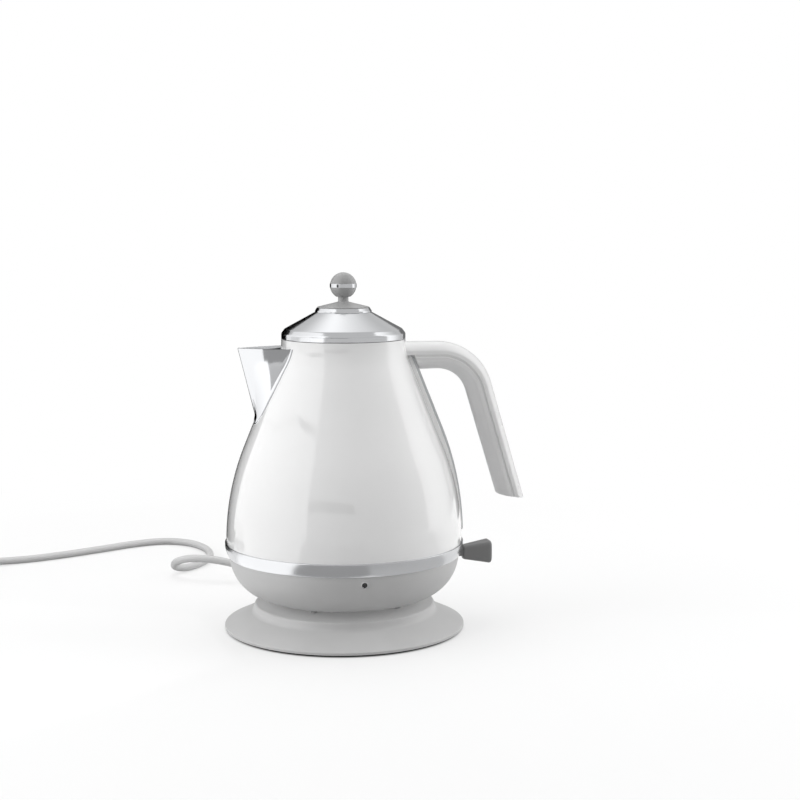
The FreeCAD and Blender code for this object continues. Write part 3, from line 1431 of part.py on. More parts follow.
def rounded_wire(points):
    """Straight runs joined by the largest tangent arcs that their runs allow."""
    edges, last, radii = [], points[0], []
    for before, corner, after in zip(points, points[1:], points[2:]):
        come, leave = (corner - before).normalize(), (after - corner).normalize()
        half = come.getAngle(leave) / 2
        reach = 0.45 * min((corner - before).Length, (after - corner).Length)
        radius = reach / math.tan(half)
        radii.append(radius)
        start, end = corner - come * reach, corner + leave * reach
        inward = (leave - come).normalize()
        middle = corner + inward * (radius / math.cos(half) - radius)
        edges += [Part.makeLine(last, start), Part.Arc(start, middle, end).toShape()]
        last = end
    edges.append(Part.makeLine(last, points[-1]))
    return Part.Wire(edges), radii


def tube_on(path, radius):
    """A solid round tube along a wire."""
    start = path.Edges[0].Vertexes[0].Point
    heading = path.Edges[0].tangentAt(path.Edges[0].FirstParameter)
    section = Part.Wire(Part.makeCircle(radius, start, heading))
    tube = path.makePipeShell([section], True, False)
    print("tube: length %.1f, volume over section times length %.4f"
          % (path.Length, tube.Volume / (path.Length * math.pi * radius ** 2)))
    return tube


def make_cord():
    radius = mm("cord_radius")
    angle = math.radians(mm("cord_exit_angle"))
    gland = mm("relief_end") * Vector(math.cos(angle), math.sin(angle), 0)
    gland.z = mm("cord_height")
    coil_start = Vector(*COIL_START)
    points = [gland] + [Vector(*point) for point in CORD_ROUTE] + [coil_start]
    path, radii = rounded_wire(points)
    print("cord radii:", " ".join(f"{value:.0f}" for value in radii))
    keep(shaped("cord_tube", tube_on(path, radius)), "power_cord")

    entry = exit_rod("relief_stem", "relief_tip_radius", "relief_start", "flange_radius - base_wall")
    boot = exit_rod("relief_boot", "relief_radius", "flange_radius - 2 * base_wall", "relief_end",
                    "relief_tip_radius")
    keep(fuse("relief", entry, boot), "cord_strain_relief")
    clamp_top = "(cord_height + relief_tip_radius + clamp_cap)"
    bridge = exit_block("clamp_block", "clamp_start", CLAMP_END, "clamp_half_width",
                        COVER_TOP, clamp_top)
    passage = exit_rod("clamp_passage", "relief_tip_radius + pin_gap", "clamp_start - cut_run",
                       f"{CLAMP_END} + cut_run")
    under = exit_block("clamp_under", "clamp_start - cut_run", f"{CLAMP_END} + cut_run",
                       "relief_tip_radius + pin_gap", "0", "cord_height")
    taps, screws = [], []
    for order, side in enumerate((1, -1)):
        reach = "(clamp_start + clamp_length / 2)"
        x, y = along_exit(reach)
        shift = f"{side} * (clamp_half_width - screw_head_radius - screw_sink / 2)"
        x, y = f"{x} - {shift} * sin(cord_exit_angle)", f"{y} + {shift} * cos(cord_exit_angle)"
        taps.append(rod(f"clamp_tap_{order}", "screw_radius + pin_gap", "through", x, y, "0"))
        shank = rod(f"clamp_shank_{order}", "screw_radius", f"{clamp_top} - {COVER_TOP}",
                    x, y, COVER_TOP)
        head = rod(f"clamp_head_{order}", "screw_head_radius", "screw_head_height", x, y, clamp_top)
        screws.append(fuse(f"clamp_screw_{order}", shank, head))
    keep(cut("cord_clamp_cut", bridge, passage, under, *taps), "cord_clamp")
    keep(group("clamp_screws", screws), "cord_clamp_screws")
    make_coil(coil_start, radius)


def make_coil(start, radius):
    """One and a quarter turns: a flat half turn, a climbing half turn, a quarter on top."""
    heading = math.radians(mm("coil_heading"))
    reach = mm("coil_radius")
    layer = 2 * radius + mm("coil_layer_gap")
    way = Vector(math.cos(heading), math.sin(heading), 0)
    left = Vector(-way.y, way.x, 0)
    entry = start + way * 2 * radius
    centre = entry + left * reach
    up = Vector(0, 0, 1)
    climb = math.hypot(reach, layer / 2)
    half_turn = centre + left * reach
    on_top = entry + up * layer
    lower_side = centre + way * reach
    upper_side = lower_side + up * layer
    diagonal = math.sqrt(0.5) * reach
    end = upper_side + left * mm("coil_tail")
    runs = [
        Part.makeLine(start, entry),
        Part.Arc(entry, centre + (way - left) * diagonal, lower_side).toShape(),
        Part.Arc(lower_side, centre + (way + left) * diagonal, half_turn).toShape(),
        Part.Arc(half_turn, centre + up * layer / 2 - way * climb, on_top).toShape(),
        Part.Arc(on_top, centre + up * layer + (way - left) * diagonal, upper_side).toShape(),
        Part.makeLine(upper_side, end),
    ]
    path = Part.Wire(runs)
    points = [edge.valueAt(edge.FirstParameter + share * (edge.LastParameter - edge.FirstParameter))
              for edge in path.Edges for share in [step / 24 for step in range(24)]]
    lengths = [0.0]
    for one, two in zip(points, points[1:]):
        lengths.append(lengths[-1] + (two - one).Length)
    apart = 4 * radius
    gap = min(
        (one - two).Length
        for order, one in enumerate(points)
        for other, two in enumerate(points[:order])
        if lengths[order] - lengths[other] > apart
    ) - 2 * radius
    print("coil: least gap to itself %.2f" % gap)
    keep(shaped("coil_tube", tube_on(path, radius)), "power_cord_coil")

    turn = math.radians(mm("tie_turn"))
    outward = way * math.sin(turn) - left * math.cos(turn)
    along = way * math.cos(turn) + left * math.sin(turn)
    middle = centre + outward * reach + up * layer / 2
    make_tie(middle, outward, along, radius, layer)
    make_plug(end, left, radius)


def box_at(middle, ahead, half_length, aside, half_width, half_height):
    """A box about a point, along a level heading."""
    low = middle - ahead * half_length - aside * half_width - Vector(0, 0, half_height)
    corners = [low, low + ahead * 2 * half_length,
               low + ahead * 2 * half_length + aside * 2 * half_width, low + aside * 2 * half_width]
    return Part.Face(Part.makePolygon(corners + corners[:1])).extrude(Vector(0, 0, 2 * half_height))


def make_tie(middle, outward, along, radius, layer):
    """A band round the two strands of the coil."""
    wall, half = mm("tie_wall"), mm("tie_width") / 2
    room = radius + mm("seat_gap")
    height = layer / 2 + radius + mm("pin_gap")
    outside = box_at(middle, along, half, outward, room + wall, height + wall)
    inside = box_at(middle, along, half + mm("cut_run"), outward, room, height)
    keep(shaped("tie", outside.cut(inside)), "cord_tie")


def make_plug(start, ahead, radius):
    """A flat two-pin plug that lies on the table at the end of the coil."""
    up = Vector(0, 0, 1)
    aside = up.cross(ahead)
    boot_end = start + ahead * mm("plug_relief_length")
    boot = Part.makeCone(radius + mm("plug_relief_wall"), mm("relief_radius + plug_relief_swell"),
                         mm("plug_relief_length"), start, ahead)
    keep(shaped("plug_boot", boot), "plug_strain_relief")
    half_height = start.z - mm("plug_floor_gap")
    length = mm("plug_length")
    body = box_at(boot_end + ahead * length / 2, ahead, length / 2, aside,
                  mm("plug_half_width"), half_height)
    uprights = [edge for edge in body.Edges if abs(edge.tangentAt(0).z) > 0.99]
    rounded = body.makeFillet(mm("plug_corner"), uprights)
    rims = [edge for edge in rounded.Edges if abs(edge.tangentAt(edge.FirstParameter).z) < 0.01]
    keep(shaped("plug_case", rounded.makeFillet(mm("plug_corner") / 2, rims)), "plug_body")
    face = boot_end + ahead * length
    pins = [
        Part.makeCylinder(mm("plug_pin_radius"), mm("plug_pin_length"),
                          face + aside * side * mm("plug_pin_half_spacing"), ahead)
        for side in (1, -1)
    ]
    keep(shaped("plug_prongs", Part.makeCompound(pins)), "plug_pins")


make_power_base()
make_connector()
make_coupler()
make_bottom_cover()
make_pilot_light()
make_trim_band()
make_heater()
make_control()
make_switch()
make_body()
make_gauge()
make_handle()
make_lid()
make_cord()
doc.recompute()

for item in doc.Objects:
    if {"Invalid", "Error"} & set(item.State):
        raise RuntimeError(f"{item.Label} failed: {item.State}")
for item in subparts:
    if item.Shape.isNull() or not item.Shape.isValid() or not item.Shape.Solids:
        raise RuntimeError(f"{item.Label} has no valid solid")

os.makedirs("parts", exist_ok=True)
for item in subparts:
    item.Shape.exportStep(os.path.join("parts", item.Label + ".step"))
    print("%-22s solids %d  volume %9.1f" % (item.Label, len(item.Shape.Solids), item.Shape.Volume))
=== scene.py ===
import json
import math

import bmesh
import bpy
import numpy as np
from bpy.props import FloatProperty, FloatVectorProperty, PointerProperty
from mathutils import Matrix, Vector

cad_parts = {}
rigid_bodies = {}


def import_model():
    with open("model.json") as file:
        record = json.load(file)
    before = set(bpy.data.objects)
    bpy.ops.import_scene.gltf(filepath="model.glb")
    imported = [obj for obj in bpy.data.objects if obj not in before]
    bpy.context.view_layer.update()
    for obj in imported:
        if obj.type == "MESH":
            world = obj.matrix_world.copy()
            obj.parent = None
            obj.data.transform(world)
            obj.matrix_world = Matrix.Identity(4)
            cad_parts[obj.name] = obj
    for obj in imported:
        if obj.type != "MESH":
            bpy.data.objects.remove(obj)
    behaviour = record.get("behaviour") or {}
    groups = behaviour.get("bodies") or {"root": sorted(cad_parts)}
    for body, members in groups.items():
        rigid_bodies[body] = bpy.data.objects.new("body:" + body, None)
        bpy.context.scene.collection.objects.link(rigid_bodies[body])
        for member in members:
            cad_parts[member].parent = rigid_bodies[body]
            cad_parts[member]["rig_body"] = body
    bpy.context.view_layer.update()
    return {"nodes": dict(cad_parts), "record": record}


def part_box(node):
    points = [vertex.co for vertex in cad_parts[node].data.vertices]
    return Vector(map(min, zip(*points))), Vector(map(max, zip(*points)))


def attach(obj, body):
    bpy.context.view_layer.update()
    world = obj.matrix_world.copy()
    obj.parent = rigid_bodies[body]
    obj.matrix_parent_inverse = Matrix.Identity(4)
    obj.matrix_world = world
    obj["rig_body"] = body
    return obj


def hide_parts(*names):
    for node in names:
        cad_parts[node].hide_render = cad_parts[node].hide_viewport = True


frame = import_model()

bl_info = {
    "name": "Cordless Kettle",
    "version": (1, 0, 0),
    "blender": (4, 5, 0),
    "location": "View3D > Sidebar > Kettle",
    "description": "Surfaces and finishes of a cordless jug kettle on its power base",
    "category": "Object",
}

# The dressing of a cordless electric jug kettle, in metres, in the CAD frame: the origin is on
# the kettle's axis on the table, +Z is up, the spout points to -X and the handle to +X.

MM = 0.001
# Quads round a large and a small turned piece, the least angle that stays a crease, and the
# distance under which two points are one.
COLUMNS, SMALL_COLUMNS = 192, 128
SHARP_ANGLE = math.radians(32)
SAME_POINT = 1e-6
SLOTS = {row["node"]: row["material_slot"] for row in frame["record"]["subparts"]}


def low(node):
    """The lowest corner of a CAD node."""
    return np.array(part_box(node)[0])


def high(node):
    """The highest corner of a CAD node."""
    return np.array(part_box(node)[1])


# Settings


def length(name, description, default):
    """A setting in metres."""
    return FloatProperty(name=name, description=description, default=float(default),
                         min=0.0, unit="LENGTH", subtype="DISTANCE", precision=4)


def angle(name, description, degrees):
    """A setting that is an angle, given in degrees."""
    return FloatProperty(name=name, description=description, default=math.radians(degrees),
                         unit="ROTATION", subtype="ANGLE")


def share(name, description, default):
    """A setting between 0 and 1."""
    return FloatProperty(name=name, description=description, default=default,
                         min=0.0, max=1.0, subtype="FACTOR")


def linear(code):
    """An sRGB hex colour as linear red, green and blue."""
    values = np.array([int(code[place:place + 2], 16) for place in (1, 3, 5)]) / 255
    curve = np.where(values <= 0.04045, values / 12.92, ((values + 0.055) / 1.055) ** 2.4)
    return tuple(float(value) for value in curve)


def colour(name, description, code):
    """A setting that is a colour, given as sRGB hex."""
    return FloatVectorProperty(name=name, description=description, default=linear(code),
                               size=3, min=0.0, max=1.0, subtype="COLOR")


class BaseSizes(bpy.types.PropertyGroup):
    """Power base and its connector."""
    rim: length("Rim", "Radius of the flange", high("base_shell")[0])
    rim_low: length("Rim foot", "Height of the flange's lower edge", low("base_shell")[2])
    rim_edge: length("Rim edge", "Height of the flange's upper edge", 3.6 * MM)
    step: length("Step", "Radius of the step's foot", 68.6 * MM)
    step_foot: length("Step foot", "Height of the step's foot", 13.4 * MM)
    plateau: length("Plateau", "Radius of the plateau", 67.4 * MM)
    plateau_edge: length("Plateau edge", "Height of the plateau's edge", 19.2 * MM)
    dome: length("Dome", "Bend of the plateau's dome", 600 * MM)
    land: length("Land", "Radius of the flat land under the connector", 19.6 * MM)
    wall: length("Wall", "Wall of the moulding", 2.0 * MM)
    rounding: length("Rounding", "Round of the plateau's edge", 1.6 * MM)
    hollow: length("Hollow", "Round of the step's foot", 4.0 * MM)
    shoulder: length("Shoulder", "Distance of the dome's edge from the plateau's", 2.4 * MM)
    plug: length("Connector", "Radius of the connector", 13.3 * MM)
    skirt: length("Skirt", "Radius of the connector's skirt", high("base_connector")[0])
    recess: length("Recess", "Radius of the connector's recess", 7.8 * MM)


class BodySizes(bpy.types.PropertyGroup):
    """Bell-shaped body."""
    foot_radius: length("Foot radius", "Radius at the trim band", high("body_shell")[0])
    foot: length("Foot", "Height of the body's foot", low("body_shell")[2])
    top: length("Top", "Height of the mouth", high("body_shell")[2])
    mouth: length("Mouth", "Radius of the mouth", 46.0 * MM)
    bulge: length("Bulge", "Bend of the bulging part", 190 * MM)
    cone: angle("Cone", "Slope of the straight part", 22.0)
    wall: length("Wall", "Thickness of the sheet", 1.2 * MM)


class SpoutSizes(bpy.types.PropertyGroup):
    """Beak of a spout."""
    lip: length("Lip", "Height of the lip", high("spout")[2])
    foot: length("Foot", "Height of the spout's tail", 155.5 * MM)
    reach: length("Reach", "Distance of the tip from the axis", -low("spout")[0])
    rake: angle("Rake", "Slope of the ridge", 13.9)
    tail: share("Tail", "Share of the height where the ridge fades into the body", 0.9)
    half_width: length("Half width", "Half the width at the lip", 20 * MM)
    taper: share("Taper", "Share of the width lost at the tail", 0.45)
    nose: length("Nose", "Half width of the rounded ridge", 2.2 * MM)
    wall: length("Wall", "Thickness of the sheet", 1.0 * MM)
    bulge: length("Bulge", "Crown of the flanks", 2.0 * MM)
    flange: length("Flange", "Width of the flange on the body", 1.5 * MM)
    flange_rise: length("Flange rise", "Height of the flange over the body", 0.35 * MM)


class HandleSizes(bpy.types.PropertyGroup):
    """Open-ended handle."""
    parting: length("Parting", "Height of the parting at the root", 204.2 * MM)
    corner: length("Corner", "Distance of the bend's corner from the axis", 96.6 * MM)
    bend: length("Bend", "Radius of the bend at the parting", 34.0 * MM)
    tip_x: length("Tip distance", "Distance of the tip from the axis", 129.6 * MM)
    tip_z: length("Tip height", "Height of the tip", 95.0 * MM)
    tip_tilt: angle("Tip tilt", "Slant of the tip's face", 9.5)
    half_width: length("Half width", "Half the handle's width", 12.0 * MM)
    groove: length("Groove", "Width of the groove at the parting", 1.6 * MM)
    groove_depth: length("Groove depth", "Depth of the groove", 0.8 * MM)
    shell_root: length("Shell root", "Depth of the outer half at its root", 10.4 * MM)
    shell_tip: length("Shell tip", "Depth of the outer half at its tip", 9.4 * MM)
    grip_root: length("Grip root", "Depth of the inner half at its root", 10.4 * MM)
    grip_tip: length("Grip tip", "Depth of the inner half at its tip", 9.8 * MM)
    flank: share("Flank", "Share of the depth taken by the straight flank", 0.34)
    edge: length("Edge", "Round of the tip's edge", 1.2 * MM)


class GaugeSizes(bpy.types.PropertyGroup):
    """Water gauge under the handle."""
    foot_proud: length("Foot proud", "Rise of the window over the body's foot", 2.6 * MM)
    straightening: length("Straightening", "Extra bend of the window's face", 34.0 * MM)
    rim_proud: length("Rim proud", "Least rise of the rim over the body", 1.3 * MM)
    rim_share: share("Rim share", "Share of the window's side that the rim covers", 0.58)
    corner: length("Window corner", "Round of the window's corners", 4.4 * MM)
    rim_corner: length("Rim corner", "Round of the rim's corners", 6.0 * MM)
    mark_length: length("Mark length", "Length of a level mark", 6.0 * MM)
    mark_width: length("Mark width", "Width of a level mark", 1.1 * MM)


class LidSizes(bpy.types.PropertyGroup):
    """Lid and knob."""
    band: length("Band", "Height of the lid's upright edge", 4.0 * MM)
    shoulder: length("Shoulder", "Radius of the lid's shoulder", 43.6 * MM)
    shoulder_height: length("Shoulder height", "Height of the shoulder", 225.0 * MM)
    cone_top: length("Cone top", "Radius at the top of the cone", 21.3 * MM)
    wall: length("Wall", "Thickness of the lid's sheet", 1.4 * MM)
    rounding: length("Rounding", "Round of the shoulder", 2.6 * MM)
    knob: length("Knob", "Radius of the ball", 9.75 * MM)
    neck: length("Neck", "Radius of the neck", 3.85 * MM)


class SwitchSizes(bpy.types.PropertyGroup):
    """Switch lever."""
    root_width: length("Root half width", "Half the paddle's width at its root", 4.6 * MM)
    root_height: length("Root half height", "Half the paddle's height at its root", 5.3 * MM)
    end_width: length("End half width", "Half the paddle's width at its end", 7.2 * MM)
    end_height: length("End half height", "Half the paddle's height at its end", 8.7 * MM)
    root: length("Root", "Distance of the paddle's root from the axis", 92.6 * MM)
    slot: length("Slot half width", "Half the width of the lever's slot", 4.4 * MM)
    slot_low: length("Slot foot", "Height of the slot's lower edge", 44.6 * MM)
    slot_high: length("Slot top", "Height of the slot's upper edge", 57.8 * MM)


class CordSizes(bpy.types.PropertyGroup):
    """Supply cord, coil and plug."""
    radius: length("Radius", "Radius of the cord", 3.2 * MM)
    height: length("Gland height", "Height of the gland's axis", 6.6 * MM)
    exit_angle: angle("Exit", "Direction of the gland about the axis", 105.0)
    gland_start: length("Gland start", "Distance of the gland's root from the axis", 86.0 * MM)
    gland_end: length("Gland end", "Distance of the gland's tip from the axis", 116.0 * MM)
    gland_radius: length("Gland radius", "Radius of the gland's root", 4.4 * MM)
    gland_tip: length("Gland tip", "Radius of the gland's tip", 3.7 * MM)
    coil_radius: length("Coil radius", "Radius of the coil's turns", 33.5 * MM)
    coil_layer: length("Coil layer", "Rise from one turn to the next", 7.0 * MM)
    coil_heading: angle("Coil heading", "Direction of the cord at the coil's start", 185.0)
    coil_tail: length("Coil tail", "Straight end after the coil", 12.8 * MM)
    real_length: length("Length", "Length of the cord from gland to plug", 788 * MM)


class KettleColours(bpy.types.PropertyGroup):
    """Colours of the finishes."""
    enamel: colour("Enamel", "White enamel of the body", "#F1F1F1")
    white: colour("White plastic", "White plastic of the handle", "#E8E8E8")
    light_grey: colour("Light grey", "Light grey mouldings of the bowl and the base", "#BEBEBE")
    grip: colour("Grip", "Pale grey of the grip", "#DEDEDE")
    knob: colour("Knob", "Mid grey of the knob", "#9E9E9E")
    lever: colour("Lever", "Mid grey of the lever", "#7C7C7C")
    chrome: colour("Chrome", "Chrome plating", "#D2D3D5")
    steel: colour("Steel", "Stainless steel", "#C4C4C3")
    window: colour("Window", "Grey of the gauge's window", "#D4D6D8")
    black: colour("Black", "Black of the connector", "#141415")
    dark: colour("Dark grey", "Dark grey of the hidden mouldings", "#4A4B4D")
    lens: colour("Lens", "Smoked lens of the pilot lamp", "#1C1C1E")
    seal: colour("Seal", "Grey silicone of the seals", "#8F8F8F")
    rubber: colour("Rubber", "Rubber of the feet", "#9C9C9C")
    cord: colour("Cord", "Pale grey sheath of the cord", "#C6C6C6")
    brass: colour("Brass", "Brass of the contacts", "#D8B878")
    zinc: colour("Zinc", "Zinc plating of the screws", "#B9BCC0")
    alloy: colour("Alloy", "Cast alloy of the heat spreader", "#C9CACC")
    ink: colour("Ink", "Level marks of the gauge", "#4E4F52")
    floor: colour("Floor", "Floor and backdrop", "#B4B4B4")


GROUPS = {
    "base": BaseSizes,
    "body": BodySizes,
    "spout": SpoutSizes,
    "handle": HandleSizes,
    "gauge": GaugeSizes,
    "lid": LidSizes,
    "switch": SwitchSizes,
    "cord": CordSizes,
    "colours": KettleColours,
}


def settings(group):
    """The scene's settings of one group."""
    return getattr(bpy.context.scene, "kettle_" + group)


# Surfaces


def outline(corners, steps=8, hold=0.15 * MM):
    """The points of an outline whose (across, up, radius) corners are rounded.

    A corner becomes the arc that is tangent to both of its sides: its points turn about the
    arc's centre from one tangent point to the other, with a holding point before and after.
    A corner with no radius stays one point.
    """
    data = np.asarray(corners, float)
    point, radius = data[:, :2], data[:, 2:]
    back, ahead = np.roll(point, 1, 0) - point, np.roll(point, -1, 0) - point
    back /= np.linalg.norm(back, axis=1, keepdims=True)
    ahead /= np.linalg.norm(ahead, axis=1, keepdims=True)
    half = np.arccos(np.clip((back * ahead).sum(1, keepdims=True), -1, 1)) / 2
    half = np.clip(half, 1e-4, math.pi / 2 - 1e-4)
    reach = radius / np.tan(half)
    inward = back + ahead
    inward /= np.maximum(np.linalg.norm(inward, axis=1, keepdims=True), 1e-12)
    centre = point + inward * radius / np.sin(half)
    turn = math.pi - 2 * half
    way = np.linspace(0, 1, steps)
    first, last = point + back * reach - centre, point + ahead * reach - centre
    swing = (np.sin((1 - way) * turn)[..., None] * first[:, None]
             + np.sin(way * turn)[..., None] * last[:, None]) / np.sin(turn)[..., None]
    arcs = np.concatenate([
        (point + back * (reach + hold))[:, None], centre[:, None] + swing,
        (point + ahead * (reach + hold))[:, None]], 1)
    made = np.where(radius[:, None] > 0, arcs, point[:, None]).reshape(-1, 2)
    gap = np.linalg.norm(made - np.roll(made, 1, 0), axis=1)
    return made[gap > SAME_POINT / 10]


def arc(start, end, radius, turn, steps=24):
    """Corners along the short arc between two points, turning left (1) or right (-1)."""
    start, end = np.asarray(start, float), np.asarray(end, float)
    chord = end - start
    half = np.linalg.norm(chord) / 2
    side = np.array([-chord[1], chord[0]]) / (2 * half) * turn
    centre = (start + end) / 2 + side * math.sqrt(radius ** 2 - half ** 2)
    begin, finish = (math.atan2(*(place - centre)[::-1]) for place in (start, end))
    sweep = (finish - begin + math.pi) % (2 * math.pi) - math.pi
    turns = begin + sweep * np.linspace(0, 1, steps)
    ring = centre + radius * np.stack([np.cos(turns), np.sin(turns)], -1)
    return np.column_stack([ring, np.zeros(steps)])


def turned(profile, columns=COLUMNS):
    """A (radius, height) profile carried round the kettle's axis."""
    around = np.linspace(0, 2 * math.pi, columns, endpoint=False)
    radius, height = profile[:, :1], profile[:, 1:2]
    return np.stack([radius * np.cos(around), radius * np.sin(around),
                     height + 0 * around], -1)


def aimed(points, origin, axis):
    """Points about +Z, turned to another axis and moved to its origin."""
    turn = np.array(Vector(axis).to_track_quat("Z", "Y").to_matrix())
    return points @ turn.T + np.asarray(origin, float)


def surface(name, points, around=True, along=False, kept=None, closed=True):
    """A mesh of quads over a grid of points (rows, columns, 3).

    The last column joins the first where it goes around, and the last row the first where it
    goes along; kept is a mask of its faces. A closed skin gets its faces turned outwards.
    """
    rows, columns = points.shape[:2]
    index = np.arange(rows * columns).reshape(rows, columns)
    if around:
        index = np.concatenate([index, index[:, :1]], 1)
    if along:
        index = np.concatenate([index, index[:1]], 0)
    quads = np.stack([index[:-1, :-1], index[:-1, 1:], index[1:, 1:], index[1:, :-1]], -1)
    faces = quads.reshape(-1, 4) if kept is None else quads[kept]
    mesh = bpy.data.meshes.new(name)
    mesh.from_pydata(points.reshape(-1, 3).tolist(), [], faces.tolist())
    work = bmesh.new()
    work.from_mesh(mesh)
    bmesh.ops.remove_doubles(work, verts=work.verts, dist=SAME_POINT)
    loose = [vertex for vertex in work.verts if not vertex.link_faces]
    bmesh.ops.delete(work, geom=loose, context="VERTS")
    if closed:
        bmesh.ops.recalc_face_normals(work, faces=work.faces)
    work.to_mesh(mesh)
    work.free()
    return smooth(mesh)


def smooth(mesh):
    """Shades the mesh smooth, apart from its creases."""
    mesh.shade_smooth()
    mesh.set_sharp_from_angle(angle=SHARP_ANGLE)
    return mesh


def walled(mesh, thickness):
    """The mesh with a wall on its inner side."""
    holder = bpy.data.objects.new(mesh.name, mesh)
    bpy.context.scene.collection.objects.link(holder)
    wall = holder.modifiers.new("wall", "SOLIDIFY")
    wall.thickness, wall.offset = thickness, -1.0
    wall.use_even_offset = True
    solid = bpy.data.meshes.new_from_object(
        holder.evaluated_get(bpy.context.evaluated_depsgraph_get()))
    solid.name = mesh.name
    bpy.data.objects.remove(holder)
    bpy.data.meshes.remove(mesh)
    return smooth(solid)


def dressed(mesh, *nodes, finish=None):
    """Puts a piece on the body of the CAD nodes that it stands for, in their finish."""
    made = bpy.data.objects.new(mesh.name, mesh)
    bpy.context.scene.collection.objects.link(made)
    slot = SLOTS[nodes[0]]
    mesh.materials.clear()
    mesh.materials.append(bpy.data.materials[finish or slot])
    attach(made, frame["nodes"][nodes[0]]["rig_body"])
    return made


def replacing(mesh, *nodes, finish=None):
    """Puts a piece in place of the CAD nodes that it stands for."""
    made = dressed(mesh, *nodes, finish=finish)
    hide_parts(*nodes)
    return made


def lathe(name, corners, *nodes, columns=COLUMNS, finish=None):
    """A closed turned piece in place of its CAD nodes."""
    mesh = surface(name, turned(outline(corners), columns), along=True)
    return replacing(mesh, *nodes, finish=finish)


def in_mm(*corners):
    """Numbers or points given in millimetres, in metres."""
    return np.array(corners, float) * MM


def squircle(power, columns=96):
    """A loop on the superellipse |across|^power + |up|^power = 1."""
    around = np.linspace(0, 2 * math.pi, columns, endpoint=False)
    across, up = np.cos(around), np.sin(around)
    bend = 2 / power
    return np.sign(across) * np.abs(across) ** bend, np.sign(up) * np.abs(up) ** bend


# Finishes

# Flow marks of a moulding are about this wide, and the waves in a polished skin several millimetres.
# The texture of an etched mould and the lines of a brush are really about a tenth of a millimetre
# wide: they are drawn about ten times as coarse, to show.
FLOW_MARKS_MM = 22
BRUSH_LINE_MM = 1.0
# A brush that goes round the kettle leaves lines that are long across and fine upwards.
ROUND_BRUSH = (0.05, 0.05, 4.0)


def add(tree, kind, inputs=None, **values):
    """Adds a node with its settings, and with its sockets set or linked."""
    made = tree.nodes.new(kind)
    for name, value in values.items():
        setattr(made, name, value)
    for name, value in (inputs or {}).items():
        if isinstance(value, bpy.types.NodeSocket):
            tree.links.new(value, made.inputs[name])
        else:
            made.inputs[name].default_value = value
    return made


def per_metre(millimetres):
    """The scale of a noise whose grains are this wide."""
    return 1 / (millimetres * MM)


def new_finish(name):
    """A material with only a Principled shader: its node tree, the shader and object coordinates."""
    material = bpy.data.materials.get(name) or bpy.data.materials.new(name)
    material.use_nodes = True
    tree = material.node_tree
    tree.nodes.clear()
    shader = add(tree, "ShaderNodeBsdfPrincipled")
    add(tree, "ShaderNodeOutputMaterial", {"Surface": shader.outputs["BSDF"]}, name="Material Output")
    place = add(tree, "ShaderNodeTexCoord").outputs["Object"]
    return tree, shader, place


def clouded(tree, shader, place, base, spread, cloud_mm, roughness, swing):
    """Colour and gloss that drift a little over the surface.

    One soft noise with clouds this wide moves the colour up and down by a share of itself, and the
    roughness by another.
    """
    cloud = add(tree, "ShaderNodeTexNoise", {"Vector": place, "Scale": per_metre(cloud_mm), "Detail": 2.0})
    ramp = add(tree, "ShaderNodeValToRGB", {"Fac": cloud.outputs["Fac"]})
    for stop, at, tone in zip(ramp.color_ramp.elements, (0.3, 0.7), (1 - spread, 1 + spread)):
        stop.position = at
        stop.color = (*[min(value * tone, 1.0) for value in base], 1.0)
    gloss = add(tree, "ShaderNodeMapRange",
                {"Value": cloud.outputs["Fac"],
                 "To Min": roughness * (1 - swing), "To Max": roughness * (1 + swing)})
    tree.links.new(ramp.outputs["Color"], shader.inputs["Base Color"])
    tree.links.new(gloss.outputs["Result"], shader.inputs["Roughness"])


def grained(tree, shader, place, grain_mm, detail, fray, strength, depth_mm):
    """Fine relief: a noise with grains this wide stands this deep, at a share of its strength."""
    grain = add(tree, "ShaderNodeTexNoise",
                {"Vector": place, "Scale": per_metre(grain_mm), "Detail": detail, "Roughness": fray})
    bump = add(tree, "ShaderNodeBump",
               {"Height": grain.outputs["Fac"], "Strength": strength, "Distance": depth_mm * MM})
    tree.links.new(bump.outputs["Normal"], shader.inputs["Normal"])


def moulded(name, base, roughness, grain_mm, depth_mm, coat=0.0, spread=0.02):
    """A moulded plastic or rubber: satin from the mould's texture, with a faintly cloudy colour."""
    tree, shader, place = new_finish(name)
    clouded(tree, shader, place, base, spread, FLOW_MARKS_MM, roughness, swing=0.1)
    grained(tree, shader, place, grain_mm, detail=3.0, fray=0.6, strength=0.35, depth_mm=depth_mm)
    shader.inputs["IOR"].default_value = 1.5
    shader.inputs["Coat Weight"].default_value = coat
    shader.inputs["Coat Roughness"].default_value = 0.06
    return shader


def metal(name, base, roughness, smear_mm, brushed=None):
    """A metal: polished, or brushed where a stretch of its grain is given for each axis."""
    tree, shader, place = new_finish(name)
    shader.inputs["Metallic"].default_value = 1.0
    clouded(tree, shader, place, base, 0.015, smear_mm, roughness, swing=0.2)
    if brushed:
        stretch = add(tree, "ShaderNodeMapping", {"Vector": place, "Scale": brushed})
        grained(tree, shader, stretch.outputs["Vector"], BRUSH_LINE_MM,
                detail=2.0, fray=0.5, strength=0.12, depth_mm=0.02)


def enamel(name, base):
    """Enamel fired on steel: a glassy coat over white that mirrors, with the faint waves of its flow."""
    shader = moulded(name, base, 0.07, 9.0, 0.012, coat=1.0, spread=0.006)
    shader.inputs["Coat Roughness"].default_value = 0.035
    shader.inputs["Coat IOR"].default_value = 1.52


def window(name, base):
    """Moulded grey polycarbonate: some light goes through, the rest scatters in its tint."""
    shader = moulded(name, base, 0.14, 14.0, 0.01, coat=0.4, spread=0.01)
    shader.inputs["Transmission Weight"].default_value = 0.25
    shader.inputs["IOR"].default_value = 1.58


